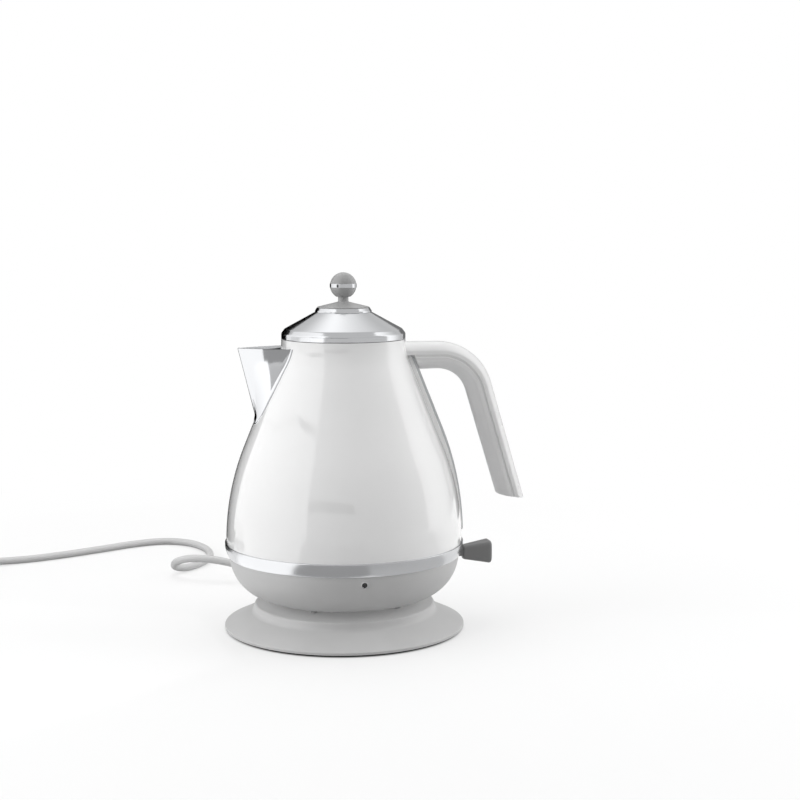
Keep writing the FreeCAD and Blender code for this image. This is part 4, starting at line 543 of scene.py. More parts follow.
def make_finishes():
    """One finish for each material slot of the record, and ink for the gauge's marks."""
    paint = settings("colours")
    enamel("white_enamel", paint.enamel)
    window("window_grey", paint.window)
    # Mouldings: roughness, width and depth of the grain in millimetres, and share of clear skin.
    for name, base, roughness, grain, depth, coat in (
            # ABS from a polished mould: broad, soft highlights in a clear skin.
            ("white_gloss", paint.white, 0.28, 6.0, 0.01, 0.5),
            # Polypropylene from an etched mould: dull and even, with no clear mirror image.
            ("light_grey_plastic", paint.light_grey, 0.46, 0.9, 0.02, 0.0),
            # Soft elastomer over the handle's core: a little greyer and duller than the shell beside it.
            ("grip_grey", paint.grip, 0.5, 0.9, 0.02, 0.0),
            # Nylon, lightly polished: a soft bright spot on the ball.
            ("knob_grey", paint.knob, 0.36, 1.2, 0.015, 0.1),
            # Glass-filled nylon: darker, with a dry satin.
            ("lever_grey", paint.lever, 0.42, 0.9, 0.02, 0.0),
            # Smoked polycarbonate: a dark bead with a sharp glint.
            ("pilot_smoke", paint.lens, 0.12, 5.0, 0.01, 0.5),
            # Black thermoset of the connector: nearly black, with a grey sheen along its edges.
            ("black_plastic", paint.black, 0.4, 0.9, 0.02, 0.0),
            # Moulded parts inside: plain dark satin.
            ("dark_plastic", paint.dark, 0.5, 1.0, 0.02, 0.0),
            # Silicone and rubber: no gloss, and the light dies away softly on them.
            ("seal_rubber", paint.seal, 0.6, 1.2, 0.03, 0.0),
            ("foot_rubber", paint.rubber, 0.65, 1.2, 0.03, 0.0),
            # Extruded PVC of the cord: one long dull highlight.
            ("cord_grey", paint.cord, 0.5, 1.0, 0.03, 0.0),
            # Pad-printed ink: flat and dry.
            ("gauge_ink", paint.ink, 0.5, 2.0, 0.01, 0.0)):
        moulded(name, base, roughness, grain, depth, coat)
    # Metals: roughness, width of their smears in millimetres, and the stretch of a brushed grain.
    for name, base, roughness, smear, brushed in (
            # Chrome plating: a clear mirror, dark and bright by turns.
            ("chrome", paint.chrome, 0.07, 30.0, None),
            # Satin chrome: the same mirror with soft edges to what it shows.
            ("satin_chrome", paint.chrome, 0.13, 30.0, None),
            # Steel brushed round the axis: highlights drawn out into upright streaks.
            ("brushed_band", paint.chrome, 0.2, 20.0, ROUND_BRUSH),
            ("stainless", paint.steel, 0.24, 12.0, ROUND_BRUSH),
            # Stamped brass and zinc-plated screws: small, warm or bluish glints.
            ("brass", paint.brass, 0.22, 8.0, None),
            ("zinc_steel", paint.zinc, 0.3, 6.0, None),
            # Cast alloy: grey, with a frosted gloss.
            ("spreader_alloy", paint.alloy, 0.4, 10.0, None)):
        metal(name, base, roughness, smear, brushed=brushed)


# Shapes that several pieces share


def bell(height):
    """The body's radius at heights: a bulging arc, a straight cone and a hollow arc to the mouth."""
    size = settings("body")
    rise = size.bulge * math.sin(size.cone)
    waist = size.foot_radius - size.bulge * (1 - math.cos(size.cone))
    slope = math.tan(size.cone)
    flare = (((size.top - size.foot - rise) * slope - waist + size.mouth)
             * math.cos(size.cone) / (1 - math.cos(size.cone)))
    up, down = height - size.foot, np.maximum(size.top - height, 0)
    bulge = size.foot_radius - size.bulge + np.sqrt(size.bulge ** 2 - np.minimum(up, rise) ** 2)
    cone = waist - (up - rise) * slope
    hollow = size.mouth + flare - np.sqrt(np.maximum(flare ** 2 - down ** 2, 0))
    flare_rise = flare * math.sin(size.cone)
    return np.where(up < rise, bulge, np.where(down > flare_rise, cone, hollow))


def gauge_face(height):
    """Radius of the gauge's face: a flatter bulge than the body's, then the same cone."""
    size, body = settings("gauge"), settings("body")
    bend = body.bulge + size.straightening
    foot = body.foot_radius + size.foot_proud
    rise = bend * math.sin(body.cone)
    up = height - body.foot
    bulge = foot - bend + np.sqrt(bend ** 2 - np.minimum(up, rise) ** 2)
    cone = foot - bend * (1 - math.cos(body.cone)) - (up - rise) * math.tan(body.cone)
    return np.where(up < rise, bulge, cone)


def sector(half_angle, inside=10, outside=54):
    """Angles across half a turn for rows of a skin, with columns on both edges of a hole.

    They are spread evenly within the hole's half angle and then evenly out to a quarter turn.
    """
    half = np.asarray(half_angle, float)[:, None]
    within = half * np.linspace(0, 1, inside + 1)
    beyond = half + (math.pi / 2 - half) * np.linspace(0, 1, outside + 1)[1:]
    right = np.concatenate([within, beyond], 1)
    columns = np.arange(2 * (inside + outside))
    in_hole = (columns >= outside) & (columns < outside + 2 * inside)
    return np.concatenate([-right[:, :0:-1], right[:, :-1]], 1), in_hole


def plain_sector(rows):
    """The same columns where there is no hole."""
    return sector(np.full(rows, 0.15 * math.pi / 2))


def round_skin(radius, height, handle_side, spout_side):
    """Points at (radius, height) rows with the columns of two half turns."""
    around = np.concatenate([handle_side, math.pi + spout_side], 1)
    radius, height = radius[:, None], height[:, None]
    return np.stack([radius * np.cos(around), radius * np.sin(around), height + 0 * around], -1)


def spout_ridge(station):
    """Distance of the ridge from the axis: a straight raked line that fades into the body."""
    size = settings("spout")
    drop = size.lip - size.foot

    def raked(place):
        return size.reach - place * drop * math.tan(size.rake)

    proud = raked(size.tail) - bell(size.lip - size.tail * drop)
    fading = bell(size.lip - station * drop) + proud * (1 - station) / (1 - size.tail)
    return np.where(station <= size.tail, raked(station), fading)


def spout_half_width(station):
    """Half the spout's width: it tapers from the lip and closes as sqrt(1 - s^8) at the tail."""
    size = settings("spout")
    return size.half_width * (1 - size.taper * station) * np.sqrt(np.maximum(1 - station ** 8, 0))


# Operators


class KETTLE_OT_body(bpy.types.Operator):
    """Bell-shaped enamelled body with its pouring hole and the slot of the gauge"""
    bl_idname = "kettle.body"
    bl_label = "Body"

    def execute(self, context):
        # The pouring hole is a stretch of the spout's height, cut a little inside the spout's width,
        # and the slot behind the gauge is an upright strip: rows and columns of the bell left out.
        size, spout = settings("body"), settings("spout")
        rows, hole_top, hole_foot, inset = 110, 0.03, 0.7, 1.4 * MM
        slot_low, slot_high, slot_half = 80 * MM, 190 * MM, 2.5 * MM
        drop = spout.lip - spout.foot
        edges = [spout.lip - hole_top * drop, spout.lip - hole_foot * drop, slot_low, slot_high]
        height = np.unique(np.concatenate([np.linspace(size.foot, size.top, rows), edges]))
        radius = bell(height)
        station = np.clip((spout.lip - height) / drop, hole_top, hole_foot)
        pour = np.arcsin((spout_half_width(station) - inset) / radius)
        spout_side, pour_columns = sector(pour)
        handle_side, slot_columns = sector(np.arcsin(slot_half / radius))
        points = round_skin(radius, height, handle_side, spout_side)
        middle = (height[:-1] + height[1:]) / 2
        in_slot = (middle > slot_low) & (middle < slot_high)
        in_pour = (middle > edges[1]) & (middle < edges[0])
        kept = ~np.concatenate([np.outer(in_slot, slot_columns), np.outer(in_pour, pour_columns)], 1)
        mesh = surface("enamel_bell", points, kept=kept, closed=False)
        replacing(walled(mesh, size.wall), "body_shell")
        return {"FINISHED"}


class KETTLE_OT_spout(bpy.types.Operator):
    """Chromed beak: a V with a rounded ridge at each level, and a narrow flange on the body"""
    bl_idname = "kettle.spout"
    bl_label = "Spout"

    def execute(self, context):
        # Half a section runs from the flange on the body along a slightly crowned flank to the nose:
        # an arc that is tangent to the flank and square to the middle plane, so it turns by what the
        # spread of the V leaves of a right angle. The rows stand closer where the tail closes.
        size = settings("spout")
        least = 0.05 * MM
        station = np.concatenate([np.linspace(0, 0.94, 64), np.linspace(0.95, 1.0, 9)])[:, None]
        height = size.lip - station * (size.lip - size.foot)
        skin = bell(height)
        half = np.maximum(spout_half_width(station), least)
        ridge = spout_ridge(station)
        blunt = np.minimum(size.nose, 0.4 * half)
        seam = np.sqrt(skin ** 2 - half ** 2)
        spread = np.arctan2(half, ridge - seam)
        sagitta = blunt * np.tan((math.pi / 2 - spread) / 2)
        bend = (blunt ** 2 + sagitta ** 2) / (2 * sagitta)
        swing = np.arcsin(np.clip(blunt / bend, 0, 1)) * np.linspace(1, 0, 8)
        nose_x, nose_y = ridge - bend * (1 - np.cos(swing)), bend * np.sin(swing)
        flank = np.linspace(0.04, 1, 16)[:-1]
        crown = 4 * flank * (1 - flank) * size.bulge * half / size.half_width
        flank_x = seam + (nose_x[:, :1] - seam) * flank + crown * np.sin(spread)
        flank_y = half + (nose_y[:, :1] - half) * flank + crown * np.cos(spread)
        foot = np.array([1.0, 0.85, 0.12])
        rise = np.array([0.0, 1.0, 1.0]) * size.flange_rise
        turn = np.arcsin(half / skin) + size.flange * foot / skin
        rim_x, rim_y = (skin + rise) * np.cos(turn), (skin + rise) * np.sin(turn)
        across = np.concatenate([rim_x, flank_x, nose_x], 1)
        aside = np.concatenate([rim_y, flank_y, nose_y], 1)
        across = np.concatenate([across, across[:, -2::-1]], 1)
        aside = np.concatenate([aside, -aside[:, -2::-1]], 1)
        points = np.stack([-across, -aside, height + 0 * across], -1)
        mesh = surface("chrome_beak", points, around=False, closed=False)
        replacing(walled(mesh, size.wall), "spout")
        return {"FINISHED"}


class KETTLE_OT_bottom(bpy.types.Operator):
    """Bowl under the body, trim band and pilot lamp"""
    bl_idname = "kettle.bottom"
    bl_label = "Bowl and trim band"

    def execute(self, context):
        self.bowl()
        self.band()
        self.pilot()
        return {"FINISHED"}

    def slotted(self, name, profile, wall, node):
        """A turned skin with the lever's slot cut out of its handle side."""
        switch = settings("switch")
        radius, height = profile[:, 0], profile[:, 1]
        handle_side, columns = sector(np.arcsin(np.minimum(switch.slot / radius, 1)))
        spout_side, _ = plain_sector(len(profile))
        points = round_skin(radius, height, handle_side, spout_side)
        middle = (profile[:-1] + profile[1:]) / 2
        outer_wall = middle[:, 0] > 0.8 * settings("body").foot_radius
        in_slot = outer_wall & (middle[:, 1] > switch.slot_low) & (middle[:, 1] < switch.slot_high)
        cut = np.concatenate([np.outer(in_slot, columns), np.zeros((len(middle), len(columns)), bool)], 1)
        mesh = surface(name, points, kept=~cut, closed=False)
        replacing(walled(mesh, wall), node)

    def with_row(self, side, radius, height):
        """A side with one more corner, at the edge of the lever's slot."""
        above = side[:, 1] > height
        return np.concatenate([side[~above], [[radius, height, 0]], side[above]])

    def bowl(self):
        """Quarter round from the band down to the flat, then a shallow hollow up to the socket's hole."""
        rim, foot, top = high("bottom_cover")[0], low("bottom_cover")[2], high("bottom_cover")[2]
        depth = top - foot
        edge = settings("switch").slot_low
        hole, hole_top, under, recess, hollow = in_mm(20.4, 32.3, 28.5, 46.5, 600)
        side = arc((rim - depth, foot), (rim, top), depth, 1, 48)
        side = self.with_row(side, rim - depth + math.sqrt(depth ** 2 - (top - edge) ** 2), edge)
        corners = np.concatenate([
            [[hole, hole_top, 0], [hole, under, 0.6 * MM]],
            arc((hole + 1.2 * MM, under), (recess - 1.5 * MM, foot + 0.4 * MM), hollow, -1, 12),
            [[recess, foot, 0.4 * MM]], side])
        self.slotted("bowl_moulding", outline(corners), settings("base").wall, "bottom_cover")

    def band(self):
        """A band whose face leans out along a flat arc, with a thin upright lip on top."""
        rim, foot, top = high("trim_band")[0], low("trim_band")[2], high("trim_band")[2]
        edge = settings("switch").slot_high
        inner, foot_radius, lip, lean, sheet = in_mm(84, 87, 1.2, 18, 0.8)
        side = arc((foot_radius, foot), (rim, top - lip), lean, 1, 24)
        side = self.with_row(side, np.interp(edge, side[:, 1], side[:, 0]), edge)
        side[0, 2] = 0.4 * MM
        corners = np.concatenate([[[inner, foot, 0]], side, [[rim, top, 0.6 * MM], [inner, top, 0]]])
        self.slotted("bright_band", outline(corners), sheet, "trim_band")

    def pilot(self):
        """A ring and a domed lens, turned about the lamp's own axis."""
        at = (low("pilot_lens") + high("pilot_lens")) / 2
        face = low("pilot_bezel")[1]
        ring, hole, lens, depth, crown = in_mm(2.45, 1.95, 1.911, 2, 6)
        bezel = [(hole, -depth, 0), (ring, -depth, 0), (ring, 0, 0.25 * MM), (hole, 0, 0.15 * MM)]
        back = -1.5 * depth
        dome = np.concatenate([[[0, back, 0], [lens, back, 0]],
                               arc((lens, -0.25 * MM), (0, 0.1 * MM), crown, 1, 10)])
        for name, corners, node, finish in (("lamp_bezel", bezel, "pilot_bezel", "white_gloss"),
                                            ("lamp_lens", dome, "pilot_lens", None)):
            grid = aimed(turned(outline(corners), columns=48), (at[0], face, at[2]), (0, -1, 0))
            replacing(surface(name, grid, along=True), node, finish=finish)


class KETTLE_OT_gauge(bpy.types.Operator):
    """Water gauge: a grey window in a thin white rim, with level marks"""
    bl_idname = "kettle.gauge"
    bl_label = "Water gauge"

    def execute(self, context):
        foot, top = low("gauge_window"), high("gauge_window")
        self.pane(top[1], foot[2], top[2])
        self.rim(top[1], foot[2], top[2])
        self.marks()
        return {"FINISHED"}

    def pane(self, half, foot, top):
        """The strip's outline drawn in to a line, at the back close to the body and at the front on the
        gauge's face; between them it rises by shares that round the front edge."""
        size = settings("gauge")
        behind = 0.8 * MM
        shares = np.array([0, 1, 1, 0.985, 0.95, 0.8, 0.5, 0.2, 0])[:, None]
        rises = np.array([0, 0, 0.86, 0.96, 1, 1, 1, 1, 1])[:, None]
        y, z = self.drawn_in(self.strip(half, foot, top, size.corner), shares, half)
        rear = np.sqrt((bell(z) + behind) ** 2 - y ** 2)
        front = np.sqrt(gauge_face(z) ** 2 - y ** 2)
        points = np.stack([rear + (front - rear) * rises, y, z], -1)
        replacing(surface("gauge_pane", points), "gauge_window")

    def rim(self, half, foot, top):
        """A ridge from its own outline in to the window's: it covers a share of the window's side, and
        its height over the body follows a low arch."""
        size = settings("gauge")
        play = 0.05 * MM
        rim_foot, rim_top = low("gauge_frame"), high("gauge_frame")
        outer = self.strip(rim_top[1], rim_foot[2], rim_top[2], size.rim_corner)
        inner = self.strip(half + play, foot - play, top + play, size.corner)
        inwards = np.array([0, 0, 0.15, 0.5, 0.85, 1, 1])[:, None, None]
        rises = np.array([0.04, 0.7, 0.92, 1, 0.92, 0.7, 0.04])[:, None]
        ring = outer + (inner - outer) * inwards
        y, z = ring[..., 0], ring[..., 1]
        proud = np.maximum((gauge_face(z) - bell(z)) * size.rim_share, size.rim_proud)
        x = np.sqrt((bell(z) + rises * proud) ** 2 - y ** 2)
        replacing(surface("gauge_rim", np.stack([x, y, z], -1), along=True), "gauge_frame")

    def strip(self, half, foot, top, corner, count=260):
        """An upright strip's rounded outline as (aside, up), with its points evenly along it."""
        corners = [(half, foot, corner), (half, top, corner), (-half, top, corner), (-half, foot, corner)]
        loop = outline(corners, steps=14)
        loop = np.concatenate([loop, loop[:1]])
        at = np.concatenate([[0], np.cumsum(np.linalg.norm(np.diff(loop, axis=0), axis=1))])
        even = np.linspace(0, at[-1], count, endpoint=False)
        return np.stack([np.interp(even, at, loop[:, 0]), np.interp(even, at, loop[:, 1])], -1)

    def drawn_in(self, loop, shares, half):
        """The outline drawn in towards its middle line, by a share of its half width."""
        middle = (loop[:, 1].max() + loop[:, 1].min()) / 2
        tall = (loop[:, 1].max() - loop[:, 1].min()) / 2
        return loop[:, 0] * shares, middle + (loop[:, 1] - middle) * (1 - (1 - shares) * half / tall)

    def marks(self):
        """Level marks: thin plates let into the window's face, a little proud of it."""
        size = settings("gauge")
        aside, sunk, proud = in_mm(3.6, 0.2, 0.12)
        shares = np.array([0, 1, 1, 0])[:, None]
        lifts = np.array([-sunk, -sunk, proud, proud])[:, None]
        for order, height in enumerate(in_mm(101.3, 109.4, 135.5)):
            foot, top = height - size.mark_width / 2, height + size.mark_width / 2
            loop = self.strip(size.mark_length / 2, foot, top, size.mark_width * 0.4)
            middle = loop.mean(0)[1]
            y = loop[:, 0] * shares - aside
            z = middle + (loop[:, 1] - middle) * shares
            x = np.sqrt((gauge_face(z) + lifts) ** 2 - y ** 2)
            mesh = surface(f"gauge_mark_{order}", np.stack([x, y, z], -1))
            dressed(mesh, "gauge_window", finish="gauge_ink")


class KETTLE_OT_handle(bpy.types.Operator):
    """Open-ended handle: a white outer half and a pale grey inner half with a groove between"""
    bl_idname = "kettle.handle"
    bl_label = "Handle"

    def execute(self, context):
        size = settings("handle")
        near = size.groove / 2
        outer = self.half_loop(near, size.shell_root, size.shell_tip)
        inner = self.half_loop(-near, -size.grip_root, -size.grip_tip)
        narrow, sunk = size.half_width - size.groove_depth, -1.5 * near
        edge, gauge_gap = 0.1 * MM, 0.4 * MM
        tongue = outline([(narrow, near, edge), (-narrow, near, edge),
                          (-narrow, sunk, edge), (narrow, sunk, edge)], steps=3)
        replacing(surface("handle_outer_half", self.carried(*outer, None)), "handle_shell")
        replacing(surface("handle_inner_half", self.carried(*inner, gauge_gap)), "handle_grip")
        strip = surface("handle_groove_strip", self.carried(tongue, tongue, gauge_gap))
        dressed(strip, "handle_grip")
        return {"FINISHED"}

    def half_loop(self, near, root, tip):
        """The D of one half at its root and at its tip: flat at the parting, crowned outside."""
        size = settings("handle")
        inner_edge, outer_edge = 0.5 * MM, 2.0 * MM
        loops = []
        for depth in (root, tip):
            half, flank = size.half_width, near + (depth - near) * size.flank
            rise = abs(depth - flank)
            bend = (half ** 2 + rise ** 2) / (2 * rise)
            crown = arc((half, flank), (-half, flank), bend, 1 if depth > 0 else -1, 30)[1:-1]
            corners = np.concatenate([
                [[-half, near, inner_edge], [half, near, inner_edge], [half, flank, outer_edge]],
                crown, [[-half, flank, outer_edge]]])
            loops.append(outline(corners, steps=6))
        return loops

    def carried(self, root, tip, gauge_gap):
        """A loop of (aside, level) carried along a line, a bend and a line to the slanted tip.

        Level is measured square to the path. The loop begins on the body's skin or, where a gap is
        given, that far off the water gauge's face.
        """
        size = settings("handle")
        root_x, skin_gap = 50 * MM, 0.05 * MM
        root_rows, bend_rows, arm_rows, edge_rows = 8, 30, 12, 6
        corner, end = np.array([size.corner, size.parting]), np.array([size.tip_x, size.tip_z])
        down = (end - corner) / np.linalg.norm(end - corner)
        turn = math.acos(down[0])
        reach = size.bend * math.tan(turn / 2)
        centre = corner - (reach, size.bend)
        last = corner + down * reach
        out = np.array([-down[1], down[0]])
        lengths = np.array([corner[0] - reach - root_x, size.bend * turn, np.linalg.norm(end - last)])
        shares = np.cumsum(lengths) / lengths.sum()

        def loop_at(way):
            return root[None] + (tip - root)[None] * np.asarray(way)[:, None, None]

        # The level root, from the skin to the bend.
        way = np.linspace(0, 1, root_rows)
        loop = loop_at(way * shares[0])
        aside, level = loop[..., 0], loop[..., 1]
        height = size.parting + level
        skin = bell(height) + skin_gap if gauge_gap is None else gauge_face(height) + gauge_gap
        begin = np.sqrt(skin ** 2 - aside ** 2)
        x = begin + (corner[0] - reach - begin) * way[:, None]
        first = np.stack([x, aside, height], -1)

        # The bend, about its centre.
        way = np.linspace(0, 1, bend_rows)[1:]
        loop = loop_at(shares[0] + way * (shares[1] - shares[0]))
        aside, level = loop[..., 0], loop[..., 1]
        swing = (way * turn)[:, None]
        bent = np.stack([centre[0] + np.sin(swing) * (size.bend + level), aside,
                         centre[1] + np.cos(swing) * (size.bend + level)], -1)

        # The straight arm: its last rows turn in over a quarter round and close the slanted tip.
        turn_in = np.linspace(0, math.pi / 2, edge_rows)[1:]
        plain = arm_rows - 1
        along = np.concatenate([np.linspace(0, 1, arm_rows)[1:], np.ones(edge_rows)])[:, None]
        inset = size.edge * (1 - np.cos(turn_in)) / size.half_width
        shrink = np.concatenate([np.ones(plain), 1 - inset, [0]])
        short = np.concatenate([np.full(plain, size.edge), size.edge * (1 - np.sin(turn_in)), [0]])[:, None]
        loop = loop_at(shares[1] + along[:, 0] * (shares[2] - shares[1]))
        middle = loop.mean(1, keepdims=True)
        loop = middle + (loop - middle) * shrink[:, None, None]
        aside, level = loop[..., 0], loop[..., 1]
        face = np.array([math.sin(size.tip_tilt), math.cos(size.tip_tilt)])
        base = last + level[..., None] * out
        distance = ((end - base) @ face) / (down @ face)
        place = base + (along * (distance - short))[..., None] * down
        straight = np.stack([place[..., 0], aside, place[..., 1]], -1)
        cap = first[:1].mean(1, keepdims=True) + 0 * first[:1]
        return np.concatenate([cap, first, bent, straight])


class KETTLE_OT_switch(bpy.types.Operator):
    """Flared switch lever with its neck, hub and tail"""
    bl_idname = "kettle.switch"
    bl_label = "Switch lever"

    def execute(self, context):
        # Superelliptic sections along X: a thin tail, the hub as a half round, a neck, and a paddle that
        # widens evenly to its end and rounds off there.
        size = settings("switch")
        foot, top = low("switch_lever"), high("switch_lever")
        height = (foot[2] + top[2]) / 2
        pivot, hub, hub_half, neck, tail, edge, gap, shoulder = in_mm(76, 4.6, 6.8, 3.0, 1.6, 2.2, 0.2, 0.8)
        turn = np.linspace(-1, 1, 13) * math.pi / 2
        hub_x, hub_z = pivot + hub * np.sin(turn), np.maximum(hub * np.cos(turn), tail)
        swell = np.linspace(0, 1, 12)
        body_x = size.root + (top[0] - edge - size.root) * swell
        round_off = np.linspace(0, 1, 7)[1:] * math.pi / 2
        inset = edge * (1 - np.cos(round_off))
        x = np.concatenate([[foot[0], foot[0], pivot - hub - gap], hub_x,
                            [pivot + hub + gap, size.root - shoulder], body_x,
                            top[0] - edge + edge * np.sin(round_off), [top[0]]])
        width = np.concatenate([[0, neck, neck], np.full(len(turn), hub_half), [neck, neck],
                                size.root_width + (size.end_width - size.root_width) * swell,
                                size.end_width - inset, [0]])
        tall = np.concatenate([[0, tail, tail], hub_z, [neck, neck],
                               size.root_height + (size.end_height - size.root_height) * swell,
                               size.end_height - inset, [0]])
        across, up = squircle(5)
        points = np.stack([x[:, None] + 0 * across, width[:, None] * across,
                           height + tall[:, None] * up], -1)
        replacing(surface("switch_paddle", points), "switch_lever")
        return {"FINISHED"}


class KETTLE_OT_lid(bpy.types.Operator):
    """Conical lid, its step ring, the knob's seat and the ball with its bright ring"""
    bl_idname = "kettle.lid"
    bl_label = "Lid and knob"

    def execute(self, context):
        size = settings("lid")
        foot, rim = low("lid_shell")[2], high("lid_shell")[0]
        cone_high = high("lid_shell")[2]
        bore, wall = 2.15 * MM, size.wall
        lathe("lid_cone", [
            (rim, foot, 0.4 * MM),
            (rim, foot + size.band, size.rounding),
            (size.shoulder, size.shoulder_height, size.rounding),
            (size.cone_top, cone_high, 0.3 * MM),
            (bore, cone_high, 0),
            (bore, cone_high - wall, 0),
            (size.cone_top - wall / 4, cone_high - wall, 0.3 * MM),
            (size.shoulder - wall, size.shoulder_height - wall, 1.5 * MM),
            (rim - wall, foot + size.band - wall / 2, 1.5 * MM),
            (rim - wall, foot, 0.4 * MM)], "lid_shell", finish="satin_chrome")
        ring_low, ring_high = low("lid_step_ring")[2], high("lid_step_ring")[2]
        ring = high("lid_step_ring")[0]
        ring_bore, ring_side, ring_slope, neck_rise = in_mm(12, 1.13, 1.4, 4.3)
        lathe("lid_bright_step", [
            (ring_bore, ring_low, 0),
            (ring, ring_low, 0.2 * MM),
            (ring, ring_low + ring_side, 0.5 * MM),
            (ring - ring_slope, ring_high, 0.6 * MM),
            (ring_bore, ring_high, 0)], "lid_step_ring", finish="satin_chrome")
        seat_low, seat_high, seat = low("knob_seat")[2], high("knob_seat")[2], high("knob_seat")[0]
        lathe("knob_cone", [
            (bore, seat_low, 0),
            (seat, seat_low, 0.15 * MM),
            (seat, seat_low + 0.5 * MM, 0.3 * MM),
            (size.neck, seat_low + neck_rise, 1.0 * MM),
            (size.neck, seat_high, 0.2 * MM),
            (bore, seat_high, 0)], "knob_seat", columns=SMALL_COLUMNS, finish="knob_grey")
        self.ball(bore)
        return {"FINISHED"}

    def ball(self, bore):
        """Two caps of one sphere, with a slightly proud ring between them."""
        size = settings("lid")
        low_z, high_z = low("knob_band")[2], high("knob_band")[2]
        centre, half = (low_z + high_z) / 2, (high_z - low_z) / 2
        foot = low("knob_lower")[2]
        cap = math.sqrt(size.knob ** 2 - half ** 2)
        foot_radius = math.sqrt(size.knob ** 2 - (centre - foot) ** 2)
        lathe("knob_lower_cap", np.concatenate([
            [[bore, foot, 0]], arc((foot_radius, foot), (cap, low_z), size.knob, 1, 24),
            [[bore, low_z, 0]]]), "knob_lower", columns=SMALL_COLUMNS)
        lathe("knob_upper_cap", np.concatenate([
            [[0, high_z, 0]], arc((cap, high_z), (0, centre + size.knob), size.knob, 1, 32)]),
            "knob_upper", columns=SMALL_COLUMNS)
        proud = high("knob_band")[0]
        lathe("knob_bright_ring", [
            (bore, low_z, 0), (proud, low_z, 0.3 * MM), (proud, high_z, 0.3 * MM), (bore, high_z, 0)],
            "knob_band", columns=SMALL_COLUMNS)


class KETTLE_OT_power_base(bpy.types.Operator):
    """Power base: flange, step and domed plateau, and the round connector"""
    bl_idname = "kettle.power_base"
    bl_label = "Power base"

    def execute(self, context):
        size = settings("base")
        land_high = high("base_shell")[2]
        crest, stem_hole = in_mm(0.26, 12.15)
        corners = np.concatenate([
            [[size.rim, size.rim_low, 0], [size.rim, size.rim_edge, 0.8 * MM],
             [size.step, size.step_foot, size.hollow],
             [size.plateau, size.plateau_edge, size.rounding]],
            arc((size.plateau - size.shoulder, size.plateau_edge + crest), (size.land, land_high),
                size.dome, 1, 30)[1:],
            [[stem_hole, land_high, 0]]])
        mesh = surface("base_moulding", turned(outline(corners)), closed=False)
        replacing(walled(mesh, size.wall), "base_shell")
        self.connector(land_high)
        return {"FINISHED"}

    def connector(self, land):
        """A stem through the base, a hollow skirt, a plain post with one groove, and a bore in its top."""
        size = settings("base")
        top, foot = high("base_connector")[2], low("base_connector")[2]
        skirt_rise, skirt_bend, skirt_edge, lip = in_mm(4.3, 20, 0.6, 0.15)
        groove, stem, core, edge = in_mm(0.6, 12, 3.2, 0.1)
        groove_top, floor = top - 2.2 * MM, top - 8 * MM
        groove_foot, waist = groove_top - groove, size.plug - groove
        skirt = arc((size.skirt - lip, land + skirt_edge + lip), (size.plug, land + skirt_rise),
                    skirt_bend, -1, 14)
        lathe("connector_moulding", np.concatenate([
            [[core, foot, 0], [stem, foot, 0.3 * MM], [stem, land, 0],
             [size.skirt, land, edge], [size.skirt, land + skirt_edge, edge]],
            skirt,
            [[size.plug, groove_foot, edge], [waist, groove_foot, edge],
             [waist, groove_top, edge], [size.plug, groove_top, edge],
             [size.plug, top, 0.7 * MM], [size.recess, top, 0.5 * MM],
             [size.recess, floor, 0.3 * MM], [core, floor, 0.2 * MM]]]),
            "base_connector", columns=SMALL_COLUMNS)


# Free stretch of the cord after its gland, in millimetres: it arches off the table to a
# hairpin on the left, comes back along the table, turns again and runs off to the left.
CORD_ROUTE = [
    (-35.7, 133.3, 6.6),
    (-48.5, 150.5, 11.5),
    (-65.5, 160.5, 15.8),
    (-84.0, 165.5, 19.2),
    (-101.0, 172.5, 19.4),
    (-112.0, 185.0, 14.0),
    (-112.0, 198.0, 6.6),
    (-102.0, 205.0, 3.4),
    (-89.0, 217.0, 3.4),
    (-78.5, 236.0, 3.4),
    (-73.5, 259.0, 3.4),
    (-76.0, 285.0, 3.4),
    (-87.0, 311.0, 3.4),
    (-109.0, 325.0, 3.4),
    (-138.0, 318.5, 3.4),
    (-171.0, 300.0, 3.4),
    (-205.0, 283.0, 3.4),
    (-240.0, 270.0, 3.4),
    (-277.0, 263.0, 4.7),
]
COIL_START = (-316.0, 259.6, 4.7)
COIL_TURNS = 1.25
COIL_POINTS_PER_TURN = 16


